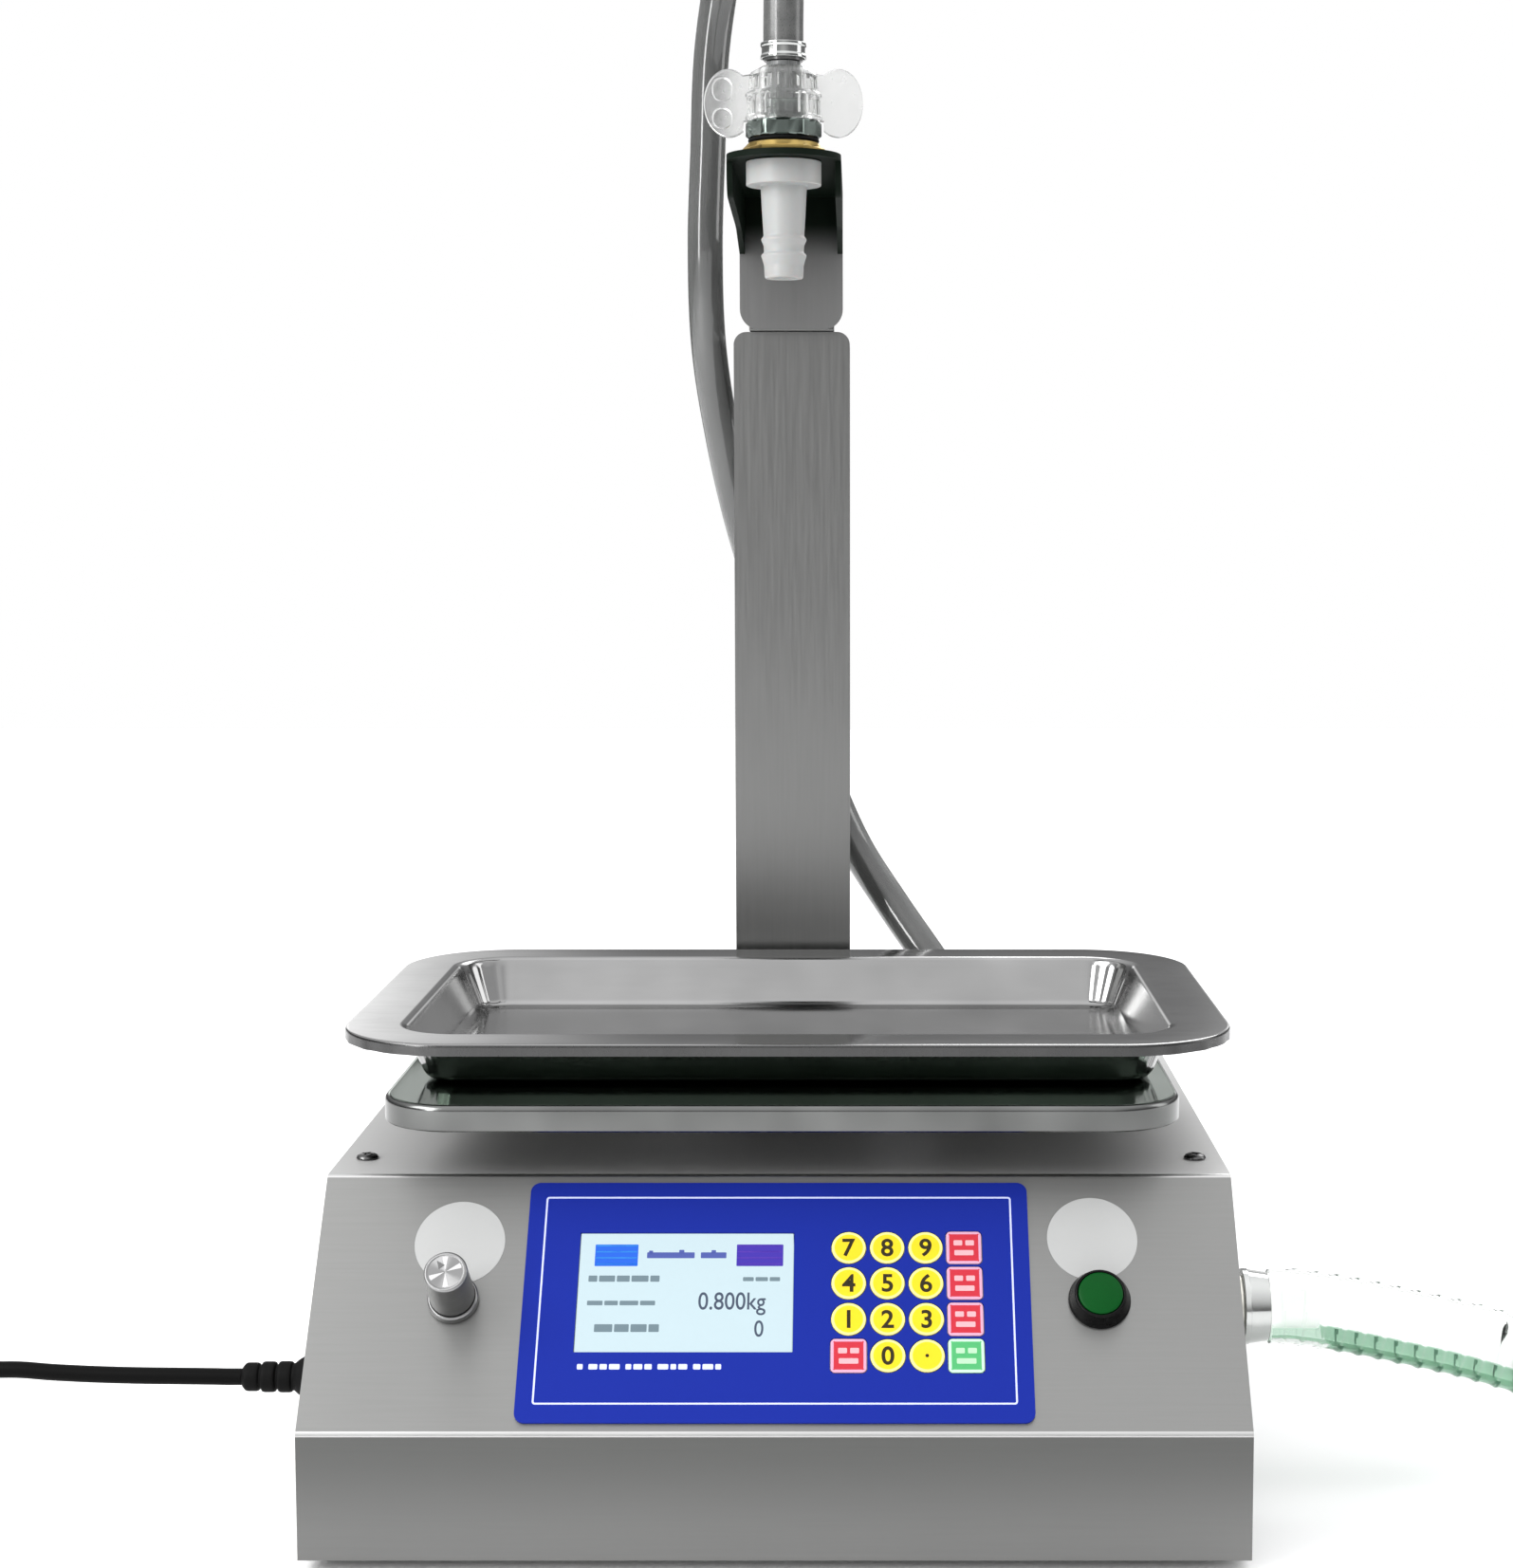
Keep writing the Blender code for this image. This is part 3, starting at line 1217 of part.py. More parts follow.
def suction_hose(parent, clear):
    """One tube with ribs outside and a plain bore."""
    route, end, heading = suction_line()
    line = smooth_line(route, SUCTION_PITCH / 2)
    line[1].y, line[1].z = line[0].y, line[0].z
    radii = [SUCTION_RADIUS - (SUCTION_DIP if k % 2 else 0) for k in range(len(line))]
    outer = rings_along(line, radii, RIB_SIDES)
    bore = line[:2] + line[BORE_STEP:-2:BORE_STEP] + line[-2:]
    inner = rings_along(bore, [SUCTION_BORE] * len(bore), RIB_SIDES)
    solid("suction_hose", skin(outer + inner[::-1], closed=True), clear, parent)
    print(f"suction hose length {length_of(line):.4f}, ribs {len(line) // 2}")
    gap = least_gap(route, SUCTION_RADIUS, 8 * SUCTION_RADIUS)
    print(f"suction hose least gap to itself {gap:.4f}")
    return end, heading


def suction_strainer(parent, plastic, end, heading):
    profile = [
        (0, -STRAINER_NECK_LENGTH),
        (STRAINER_NECK_RADIUS, -STRAINER_NECK_LENGTH),
        (STRAINER_NECK_RADIUS, GAP),
        (STRAINER_RADIUS, GAP),
    ]
    ring_pitch = STRAINER_LENGTH / (2 * STRAINER_RINGS + 1)
    for k in range(STRAINER_RINGS):
        x = GAP + (2 * k + 1) * ring_pitch
        profile += [
            (STRAINER_RADIUS, x),
            (STRAINER_RADIUS - STRAINER_RING_DEPTH, x),
            (STRAINER_RADIUS - STRAINER_RING_DEPTH, x + ring_pitch),
            (STRAINER_RADIUS, x + ring_pitch),
        ]
    profile += [(STRAINER_RADIUS, STRAINER_LENGTH), (0, STRAINER_LENGTH)]
    turn = Vector((0, 0, 1)).rotation_difference(heading).to_euler()
    solid("suction_strainer", turned(profile, SMALL_ROUND), plastic, parent, end, turn)


# Mains lead
def strain_relief(parent, rubber):
    length = RELIEF_LENGTH
    profile = [
        (0, -SHEET - RELIEF_STUB_LENGTH),
        (RELIEF_STUB_RADIUS, -SHEET - RELIEF_STUB_LENGTH),
        (RELIEF_STUB_RADIUS, GAP),
        (RELIEF_FLANGE_RADIUS, GAP),
        (RELIEF_FLANGE_RADIUS, RELIEF_FLANGE_LENGTH / 2),
        (RELIEF_RADIUS, RELIEF_FLANGE_LENGTH),
    ]
    pitch = (length - RELIEF_FLANGE_LENGTH) / (2 * RELIEF_RIBS + 1)
    x = RELIEF_FLANGE_LENGTH + pitch
    for rib in range(RELIEF_RIBS):
        share = rib / RELIEF_RIBS
        radius = RELIEF_RADIUS + (RELIEF_TIP_RADIUS - RELIEF_RADIUS) * share
        profile += [(radius, x), (radius - RELIEF_GROOVE, x), (radius - RELIEF_GROOVE, x + pitch)]
        profile.append((radius - RELIEF_GROOVE / 4, x + pitch))
        x += 2 * pitch
    profile += [(RELIEF_TIP_RADIUS, x), (RELIEF_TIP_RADIUS - GAP, length), (0, length)]
    spot = (-HALF_WIDTH, CORD_Y, CORD_Z)
    solid("strain_relief", turned(profile, SMALL_ROUND), rubber, parent, spot, (0, -QUARTER, 0))


def power_cord(parent, rubber):
    start = Vector((-HALF_WIDTH - RELIEF_LENGTH - GAP, CORD_Y, CORD_Z))
    top = 3 * CORD_RADIUS + 2 * GAP
    side = Vector((-HALF_WIDTH, 0, 0))
    end = side + Vector((CORD_END, CORD_Y, top))
    straight = Vector((2 * CORD_RADIUS, 0, 0))
    free = [side + Vector(p) for p in CORD_ROUTE]
    route = [start, start - straight / 2, *free, end + straight, end]
    line = smooth_line(route, 5 * CORD_RADIUS)
    line[1].y, line[1].z = start.y, start.z
    line[-2].y, line[-2].z = end.y, end.z
    tube("power_cord", line, CORD_RADIUS, rubber, parent)
    return end, length_of(smooth_line(route, CORD_RADIUS))


def coil_line(start):
    """Turns that spiral in on the upper layer, drop, and spiral out again on the table."""
    turns = COIL_TURNS_PER_LAYER
    reach = COIL_RADIUS + COIL_SPACING * turns / 2
    first = start - Vector((2 * CORD_RADIUS + GAP, 0, 0))
    middle = first + Vector((0, reach, 0))
    middle.z = 0
    low = CORD_RADIUS
    points = [start - Vector((GAP, 0, 0)), first]
    steps = ROUND
    total = round((2 * turns) * steps)
    for k in range(1, total + 1):
        turn = k / steps
        inward = turns - math.hypot(turn - turns, COIL_TURNING_SHARE)
        radius = reach - COIL_SPACING * inward
        fall = min(max((turn - turns + 0.25) * 2, 0), 1)
        height = start.z + (low - start.z) * (fall * fall * (3 - 2 * fall))
        a = 2 * math.pi * turn
        spot = Vector((-radius * math.sin(a), -radius * math.cos(a), height))
        points.append(middle + spot)
    out = points[-1]
    rise = PLUG_HEIGHT / 2 - low
    straight = 2 * CORD_RADIUS
    climb = COIL_TAIL - COIL_TAIL_FLAT - straight
    points.append(out - Vector((COIL_TAIL_FLAT / 2, 0, 0)))
    steps = 6
    for k in range(steps + 1):
        share = k / steps
        lift = rise * share * share * (3 - 2 * share)
        points.append(out + Vector((-COIL_TAIL_FLAT - climb * share, 0, lift)))
    end = out + Vector((-COIL_TAIL, 0, rise))
    points.append(end)
    return points, end


def power_cord_coil(parent, rubber, start, free_length):
    line, end = coil_line(start)
    tube("power_cord_coil", line, CORD_RADIUS, rubber, parent, sides=1)
    print(f"mains lead length {free_length + length_of(line):.4f}")
    print(f"coil least gap to itself {least_gap(line, CORD_RADIUS, 12 * CORD_RADIUS):.5f}")
    return end


def power_plug(parent, rubber, metal, end):
    """A moulded plug lying flat, its neck towards the coil."""
    neck = turned(
        [
            (CORD_RADIUS + GAP, 0),
            (PLUG_NECK_RADIUS, PLUG_NECK_LENGTH),
            (PLUG_NECK_RADIUS, PLUG_NECK_LENGTH + PLUG_CORNER),
        ],
        SMALL_ROUND,
    )
    spot = end - Vector((GAP, 0, 0))
    outline = rounded(PLUG_WIDTH / 2, PLUG_LENGTH / 2, PLUG_CORNER, SMALL_CORNER_STEPS)
    half = PLUG_HEIGHT / 2
    body = extruded(outline, -half, half)
    middle = spot - Vector((PLUG_NECK_LENGTH + PLUG_LENGTH / 2, 0, 0))
    plug = solid("power_plug", body, rubber, parent, middle, (0, 0, QUARTER))
    add(plug, solid("plug_neck", neck, rubber, parent, spot, (0, -QUARTER, 0)))
    face = -PLUG_LENGTH / 2
    pins = (
        (-PIN_SPREAD, EARTH_DROP / 2, PIN_THICKNESS, PIN_WIDTH),
        (PIN_SPREAD, EARTH_DROP / 2, PIN_THICKNESS, PIN_WIDTH),
        (0, -EARTH_DROP, PIN_WIDTH, PIN_THICKNESS),
    )
    for y, z, wide, tall in pins:
        low = (face - PIN_LENGTH, y - wide / 2, z - tall / 2)
        high = (face + PIN_THICKNESS, y + wide / 2, z + tall / 2)
        add(plug, solid("plug_pin", block(low, high), metal, parent, middle))


# Works inside
def pump(parent, black, steel):
    right = HALF_WIDTH - SHEET - INLET_STUB_LENGTH - GAP
    left = right - PUMP_SIDE
    top = INLET_Z + PUMP_HEIGHT / 2
    low = (left, INLET_Y - PUMP_DEPTH / 2, INLET_Z - PUMP_HEIGHT / 2)
    head = solid("pump_head", block(low, (right, INLET_Y + PUMP_DEPTH / 2, top)), black, parent)
    centre_x = (left + right) / 2
    half = PUMP_FOOT_SIDE / 2
    foot_low = (centre_x - half, INLET_Y - half, FLOOR_Z + GAP)
    foot_high = (centre_x + half, INLET_Y + half, INLET_Z)
    add(head, solid("pump_foot", block(foot_low, foot_high), black, parent))
    back = INLET_Y + PUMP_DEPTH / 2 + GAP
    axis_z = TUBE_Z - TUBE_RADIUS - MOTOR_RADIUS - PLAY
    body = rod(MOTOR_RADIUS, 0, MOTOR_LENGTH)
    spot = (centre_x, back, axis_z)
    motor = solid("pump_motor", body, steel, parent, spot, (-QUARTER, 0, 0))
    half = MOTOR_FOOT_WIDTH / 2
    low = (centre_x - half, back + MOTOR_LENGTH / 4, FLOOR_Z + GAP)
    high = (centre_x + half, back + 3 * MOTOR_LENGTH / 4, axis_z)
    add(motor, solid("motor_foot", block(low, high), steel, parent))
    return Vector((centre_x, back, TUBE_Z))


def pump_hose(parent, clear, start):
    end = Vector((OUTLET_X, OUTLET_Y - OUTLET_ELBOW_LENGTH - GAP, TUBE_Z))
    count = 14
    line = []
    for k in range(count + 1):
        share = k / count
        sway = share * share * (3 - 2 * share)
        x = start.x + (end.x - start.x) * sway
        line.append(Vector((x, start.y + (end.y - start.y) * share, start.z)))
    line[1].x, line[-2].x = start.x, end.x
    tube("pump_hose", line, TUBE_RADIUS - GAP, clear, parent)


def power_supply(parent, steel):
    half_x, half_y = SUPPLY_WIDTH / 2, SUPPLY_DEPTH / 2
    low = (SUPPLY_X - half_x, SUPPLY_Y - half_y, FLOOR_Z + GAP)
    high = (SUPPLY_X + half_x, SUPPLY_Y + half_y, FLOOR_Z + GAP + SUPPLY_HEIGHT)
    solid("power_supply", block(low, high), steel, parent)


def empty(name, parent=None, location=(0, 0, 0), rotation=(0, 0, 0)):
    return place(bpy.data.objects.new(name, None), parent, location, rotation)


def main():
    for old in list(bpy.data.objects):
        bpy.data.objects.remove(old, do_unlink=True)
    steel = material("brushed_steel", (0.46, 0.46, 0.45), 0.38, 1.0)
    polished = material("polished_steel", (0.62, 0.62, 0.62), 0.16, 1.0)
    chrome = material("chrome", (0.80, 0.80, 0.80), 0.08, 1.0)
    aluminium = material("aluminium", (0.72, 0.72, 0.73), 0.25, 1.0)
    brass = material("brass", (0.70, 0.50, 0.22), 0.30, 1.0)
    black = material("black_plastic", (0.02, 0.02, 0.02), 0.35, 0.0)
    rubber = material("black_rubber", (0.015, 0.015, 0.015), 0.60, 0.0)
    blue = material("blue_overlay", (0.02, 0.03, 0.38), 0.40, 0.0)
    glass = material("display_glass", (0.75, 0.88, 0.95), 0.10, 0.0)
    yellow = material("yellow_key", (0.85, 0.68, 0.08), 0.40, 0.0)
    red = material("red_key", (0.70, 0.05, 0.07), 0.40, 0.0)
    green = material("green_key", (0.04, 0.50, 0.16), 0.35, 0.0)
    nylon = material("white_nylon", (0.78, 0.78, 0.76), 0.45, 0.0)
    clear = material("clear_plastic", (0.85, 0.88, 0.86), 0.12, 0.0, 0.4)
    laminate = material("green_laminate", (0.03, 0.20, 0.09), 0.50, 0.0)

    machine = empty("machine", location=machine_shift())
    lower_fold = (0, -HALF_DEPTH, FOLD_Z)
    slope = empty("slope", machine, lower_fold, (SLOPE_ANGLE, 0, 0))
    stack = empty("nozzle_axis", machine, (0, NOZZLE_Y, 0))

    housing_cover(machine, slope, steel)
    cover_screws(machine, steel)
    base_plate(machine, steel)
    rear_panel(machine, steel)
    feet(machine, rubber)

    overlay(slope, blue)
    keys(slope, yellow, red, green)
    display(slope, glass)
    control_board(slope, laminate)
    potentiometer(slope, brass)
    flow_knob(slope, aluminium)
    start_button(slope, black, green)

    load_cell(machine, aluminium)
    platform_spider(machine, aluminium)
    weigh_platform(machine, steel)
    tray(machine, polished)

    column(machine, steel)
    arm_bar(machine, steel)
    arm_clamp_knob(machine, black)
    arm_bracket(machine, steel)

    nozzle(stack, nylon)
    nozzle_nut(stack, brass)
    sealing_ring(stack, rubber)
    hex_adapter(stack, chrome)
    wing_nut(stack, clear)
    hose_tail(stack, clear)
    hose_clamp(stack, chrome)

    output_hose(machine, clear)
    outlet_fitting(machine, chrome)
    inlet_fitting(machine, chrome)
    end, heading = suction_hose(machine, clear)
    suction_strainer(machine, black, end, heading)
    strain_relief(machine, rubber)
    coil_start, free_length = power_cord(machine, rubber)
    plug_start = power_cord_coil(machine, rubber, coil_start, free_length)
    power_plug(machine, rubber, brass, plug_start)

    port = pump(machine, black, steel)
    pump_hose(machine, clear, port)
    power_supply(machine, steel)


main()
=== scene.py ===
"""Looks of the bench-top weighing filler: finishes, the clear hoses and the mains lead at their
real length, and finer meshes for what shows. Metres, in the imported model's own frame."""
import math

import bmesh
import bpy
from mathutils import Matrix, Vector, geometry


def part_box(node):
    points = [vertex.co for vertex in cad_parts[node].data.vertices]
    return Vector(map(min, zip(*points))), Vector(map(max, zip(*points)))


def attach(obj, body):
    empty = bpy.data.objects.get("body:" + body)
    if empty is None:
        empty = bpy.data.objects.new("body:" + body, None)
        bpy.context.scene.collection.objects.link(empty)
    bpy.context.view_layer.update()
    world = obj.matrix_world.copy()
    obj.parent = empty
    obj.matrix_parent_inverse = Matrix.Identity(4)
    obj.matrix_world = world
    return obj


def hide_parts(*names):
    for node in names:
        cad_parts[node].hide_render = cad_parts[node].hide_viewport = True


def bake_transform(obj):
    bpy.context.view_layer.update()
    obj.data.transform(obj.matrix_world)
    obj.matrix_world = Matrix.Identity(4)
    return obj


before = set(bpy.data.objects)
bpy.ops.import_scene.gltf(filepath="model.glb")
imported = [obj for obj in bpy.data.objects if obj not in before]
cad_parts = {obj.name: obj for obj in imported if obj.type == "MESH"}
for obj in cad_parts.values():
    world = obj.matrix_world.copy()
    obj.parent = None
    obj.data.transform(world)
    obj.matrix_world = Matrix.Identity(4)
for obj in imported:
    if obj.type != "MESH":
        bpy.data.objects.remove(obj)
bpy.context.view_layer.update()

# Photograph's frame and the camera that was fitted to it
LENS = 61.687
SENSOR = 36.0
SHIFT_X = -0.06468
CAMERA_SPOT = (0.031365, -1.15005, 0.39433)
CAMERA_TILT = math.radians(90 - 5.5428)

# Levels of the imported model, read from its boxes
COVER_LOW, COVER_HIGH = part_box("housing_cover")
ORIGIN = Vector(((COVER_LOW.x + COVER_HIGH.x) / 2, (COVER_LOW.y + COVER_HIGH.y) / 2, 0))
HALF_WIDTH = (COVER_HIGH.x - COVER_LOW.x) / 2
HALF_DEPTH = (COVER_HIGH.y - COVER_LOW.y) / 2
FOOT_HEIGHT = COVER_LOW.z
TOP_Z = COVER_HIGH.z

# Sizes that repeat the model's
GAP = 0.0003
SHEET = 0.0012
OVERRUN = 0.002
FOLD_Z = 0.054
SLOPE_RUN = 0.071
SLOPE_ANGLE = math.atan2(TOP_Z - FOLD_Z, SLOPE_RUN)
FOLD_RADIUS = 0.003
NOZZLE_Y = 0.005
ARM_TOP = 0.549
ARM_BACK = 0.1332
COLUMN_Y = 0.1515
COLUMN_FRONT = 0.1365
COLUMN_TOP = 0.4845
CLAMP_Z = COLUMN_TOP - 0.022
HOSE_START = 0.5877
HOSE_RADIUS = 0.0085
OUTLET = Vector((0.082, 0.15, 0))
OUTLET_TOP = 0.1498
INLET = Vector((HALF_WIDTH, -0.06, 0.0706))
INLET_END = 0.2014
CORD = Vector((-HALF_WIDTH, -0.08, 0.047))
CORD_RADIUS = 0.0034
RELIEF_LENGTH = 0.04

# Facets and angles
ROUND = 64
CURVE_STEPS = 24
SHARP = math.radians(40)
BEVEL_FROM = math.radians(28)
TURN = 2 * math.pi
QUARTER = math.pi / 2


def shift(*way):
    return Matrix.Translation(way)


def spin(angle, axis="Z"):
    return Matrix.Rotation(angle, 4, axis)


# Frames of the machine, its sloped face and its nozzle
MACHINE = shift(*ORIGIN)
SLOPE = MACHINE @ shift(0, -HALF_DEPTH, FOLD_Z) @ spin(SLOPE_ANGLE, "X")
STACK = MACHINE @ shift(0, NOZZLE_Y, 0)
ALONG_X = spin(QUARTER) @ spin(QUARTER, "X")
UPRIGHT = spin(QUARTER, "X")
SIDEWAYS = spin(QUARTER, "Y")


def placed(name, data):
    made = bpy.data.objects.new(name, data)
    bpy.context.scene.collection.objects.link(made)
    return made


def mesh_of(name, bm):
    mesh = bpy.data.meshes.new(name)
    bm.to_mesh(mesh)
    bm.free()
    return mesh


def node(tree, kind, settings=(), **values):
    """A shader node; each input takes the value or the link that its name is given."""
    made = tree.nodes.new("ShaderNode" + kind)
    for setting, choice in settings:
        setattr(made, setting, choice)
    for name, value in values.items():
        socket = made.inputs[name.replace("_", " ")]
        if isinstance(value, bpy.types.NodeSocket):
            tree.links.new(value, socket)
        else:
            socket.default_value = value
    return made


# Camera, floor and light
def camera():
    lens = bpy.data.cameras.new("view")
    lens.sensor_fit = "AUTO"
    lens.sensor_width = SENSOR
    lens.lens = LENS
    lens.shift_x = SHIFT_X
    lens.clip_start = 0.05
    made = placed("view", lens)
    made.location = Vector(CAMERA_SPOT) + ORIGIN
    made.rotation_euler = (CAMERA_TILT, 0, 0)
    bpy.context.scene.camera = made


MIDDLE = (0, 0, 0.2)
LIGHTS = (
    ("key_light", (-1.6, -0.9, 1.5), MIDDLE, (1.2, 1.2), 34),
    ("strip_light", (-1.3, -1.45, 0.85), (0, 0, 0.55), (0.3, 1.2), 15),
    ("fill_light", (1.9, 0.1, 0.9), MIDDLE, (0.8, 1.4), 9),
    ("rim_light", (0.7, 1.6, 1.5), MIDDLE, (1.4, 0.6), 14),
)
ROOM_LEVELS = ((0.0, 0.1), (0.5, 0.11), (0.57, 0.2), (0.66, 0.5), (0.8, 1.05), (1.0, 1.75))
SOFT_PATCHES = (
    ((-0.26, 0.95, 0.17), 0.2, 2.0),
    ((0.27, 0.94, 0.17), 0.17, 1.7),
    ((0, -1, 0.45), 0.7, 0.6),
)


def soft_light(name, spot, target, size, power):
    data = bpy.data.lights.new(name, "AREA")
    data.shape = "RECTANGLE"
    data.size, data.size_y = size
    data.energy = power
    lamp = placed(name, data)
    lamp.location = spot
    way = Vector(target) - Vector(spot)
    lamp.rotation_euler = way.to_track_quat("-Z", "Y").to_euler()


def studio():
    """White behind the object, and a softer grey room for what the metal mirrors."""
    world = bpy.data.worlds.new("studio")
    bpy.context.scene.world = world
    world.use_nodes = True
    tree = world.node_tree
    tree.nodes.clear()
    way = node(tree, "TexCoord").outputs["Generated"]
    split = node(tree, "SeparateXYZ", Vector=way)
    span = node(tree, "MapRange", Value=split.outputs["Z"], From_Min=-1, From_Max=1)
    ramp = node(tree, "ValToRGB", Fac=span.outputs["Result"])
    levels = ramp.color_ramp.elements
    while len(levels) < len(ROOM_LEVELS):
        levels.new(0.5)
    for level, (place, light) in zip(levels, ROOM_LEVELS):
        level.position = place
        level.color = (light, light, light * 1.01, 1)
    light = ramp.outputs["Color"]
    for spot, reach, strength in SOFT_PATCHES:
        apart = node(tree, "VectorMath", [("operation", "DISTANCE")])
        apart.inputs[1].default_value = Vector(spot).normalized()
        tree.links.new(way, apart.inputs[0])
        fall = node(tree, "MapRange", [("interpolation_type", "SMOOTHSTEP")], From_Min=reach,
                    From_Max=0, To_Max=strength, Value=apart.outputs["Value"])
        added = node(tree, "VectorMath")
        tree.links.new(light, added.inputs[0])
        tree.links.new(fall.outputs["Result"], added.inputs[1])
        light = added.outputs["Vector"]
    path = node(tree, "LightPath")
    seen = node(tree, "Math", [("operation", "MAXIMUM")])
    mix = node(tree, "MixShader")
    out = node(tree, "OutputWorld")
    for source, target in (
        (path.outputs["Is Camera Ray"], seen.inputs[0]),
        (path.outputs["Is Transmission Ray"], seen.inputs[1]),
        (seen.outputs[0], mix.inputs[0]),
        (node(tree, "Background", Color=light).outputs[0], mix.inputs[1]),
        (node(tree, "Background", Color=(1, 1, 1, 1)).outputs[0], mix.inputs[2]),
        (mix.outputs[0], out.inputs[0]),
    ):
        tree.links.new(source, target)
    for lamp in LIGHTS:
        soft_light(*lamp)


def floor():
    bm = bmesh.new()
    half = 4.0
    corners = ((-half, -half), (half, -half), (half, half), (-half, half))
    bm.faces.new([bm.verts.new((*corner, 0)) for corner in corners])
    made = placed("floor", mesh_of("floor", bm))
    made.data.materials.append(paints["floor"])


# Finishes
SOCKETS = {"gloss": "Specular IOR Level", "clear": "Transmission Weight"}


def finish(name, colour, rough, metal=0.0, grain=(1, 1, 1), scale=400, spread=0.05, tint=0.05,
           cloud=0.0, cloud_scale=9, bump=0.02, depth=0.0001, brushed=None, **sockets):
    """A Principled material whose colour, roughness and relief vary along a stretched noise."""
    made = bpy.data.materials.new(name)
    made.use_nodes = True
    tree = made.node_tree
    shader = tree.nodes["Principled BSDF"]
    shader.inputs["Metallic"].default_value = metal
    for socket, value in sockets.items():
        shader.inputs[SOCKETS.get(socket, socket.replace("_", " "))].default_value = value
    place = node(tree, "TexCoord").outputs["Object"]
    stretch = node(tree, "Mapping", Vector=place, Scale=[scale * share for share in grain])
    noise = node(tree, "TexNoise", Vector=stretch.outputs["Vector"], Scale=1, Detail=3)
    fine = noise.outputs["Fac"]
    rougher = node(tree, "MapRange", Value=fine, To_Min=max(rough - spread, 0.01),
                   To_Max=rough + spread)
    tree.links.new(rougher.outputs["Result"], shader.inputs["Roughness"])
    tone = node(
        tree, "Mix", [("data_type", "RGBA")], Factor=fine, A=(*[c * (1 - tint) for c in colour], 1),
        B=(*[min(c * (1 + tint), 1) for c in colour], 1),
    ).outputs["Result"]
    if cloud:
        broad = node(tree, "TexNoise", Vector=place, Scale=cloud_scale, Detail=2)
        grey = node(tree, "RGBToBW", Color=broad.outputs["Color"])
        tone = node(tree, "Mix", [("data_type", "RGBA"), ("blend_type", "MULTIPLY")],
                    Factor=cloud, A=tone, B=grey.outputs["Val"]).outputs["Result"]
    tree.links.new(tone, shader.inputs["Base Color"])
    if brushed:
        along = node(tree, "CombineXYZ", **dict(zip("XYZ", brushed)))
        tree.links.new(along.outputs["Vector"], shader.inputs["Tangent"])
    if bump:
        relief = node(tree, "Bump", Strength=bump, Distance=depth, Height=fine)
        tree.links.new(relief.outputs["Normal"], shader.inputs["Normal"])
    made.diffuse_color = (*colour, 1)
    return made


def shade_painted_by_height(made, levels, colour):
    """Painted shade: the finish turns to another colour between two heights."""
    tree = made.node_tree
    base = tree.nodes["Principled BSDF"].inputs["Base Color"]
    split = node(tree, "SeparateXYZ", Vector=tree.nodes["Texture Coordinate"].outputs["Object"])
    span = node(tree, "MapRange", [("interpolation_type", "SMOOTHSTEP")], From_Min=levels[0],
                From_Max=levels[1], Value=split.outputs["Z"])
    mix = node(tree, "Mix", [("data_type", "RGBA")], Factor=span.outputs["Result"],
               A=base.links[0].from_socket, B=(*colour, 1))
    tree.links.new(mix.outputs["Result"], base)
    return made


# Mesh tools
def skin(rings, closed=False):
    bm = bmesh.new()
    loops = [[bm.verts.new(p) for p in ring] for ring in rings]
    pairs = list(zip(loops, loops[1:]))
    if closed:
        pairs.append((loops[-1], loops[0]))
    for low, high in pairs:
        count = max(len(low), len(high))
        for k in range(count):
            n = (k + 1) % count
            corners = [(low, k), (low, n), (high, n), (high, k)]
            bm.faces.new(list(dict.fromkeys(loop[place % len(loop)] for loop, place in corners)))
    if not closed:
        for loop in (loops[0], loops[-1]):
            if len(loop) > 2:
                bm.faces.new(loop)
    return bm


def softened(points, radius, steps=3, closed=False):
    """The same outline with each corner rounded, by no more than its neighbours leave room for."""
    points = [Vector(p) for p in points]
    found = []
    for k, here in enumerate(points):
        if not closed and k in (0, len(points) - 1):
            found.append(tuple(here))
            continue
        back, on = points[k - 1] - here, points[(k + 1) % len(points)] - here
        reach = min(radius, 0.45 * back.length, 0.45 * on.length)
        start, end = here + back.normalized() * reach, here + on.normalized() * reach
        for n in range(steps + 1):
            t = n / steps
            found.append(tuple(start * (1 - t) ** 2 + here * 2 * t * (1 - t) + end * t * t))
    return found


def circle(count):
    return [TURN * k / count for k in range(count)]


def ring_at(height, angles, reach):
    """A ring around Z; reach gives its radius at an angle."""
    return [(reach(a) * math.cos(a), reach(a) * math.sin(a), height) for a in angles]


def turned(profile, segments=ROUND, closed=False, soft=0.0, steps=3):
    if soft:
        profile = softened(profile, soft, steps, closed)
    return skin([
        ring_at(height, circle(segments) if radius >= 1e-7 else [0], lambda a: radius)
        for radius, height in profile
    ], closed)


def rod(radius, low, high, segments=ROUND):
    return turned([(radius, low), (radius, high)], segments)


def extruded(outline, low, high):
    return skin([[(x, y, z) for x, y in outline] for z in (low, high)])


def block(low, high):
    corners = [(low[0], low[1]), (high[0], low[1]), (high[0], high[1]), (low[0], high[1])]
    return extruded(corners, low[2], high[2])


def arc(centre, radius, start, end, steps):
    angles = [start + (end - start) * k / steps for k in range(steps + 1)]
    return [(centre[0] + radius * math.cos(a), centre[1] + radius * math.sin(a)) for a in angles]


def rounded(half_x, half_y, radius, steps=8, centre=(0, 0)):
    points = []
    for k, (sx, sy) in enumerate(((1, 1), (-1, 1), (-1, -1), (1, -1))):
        middle = (centre[0] + sx * (half_x - radius), centre[1] + sy * (half_y - radius))
        points += arc(middle, radius, k * QUARTER, (k + 1) * QUARTER, steps)
    return points


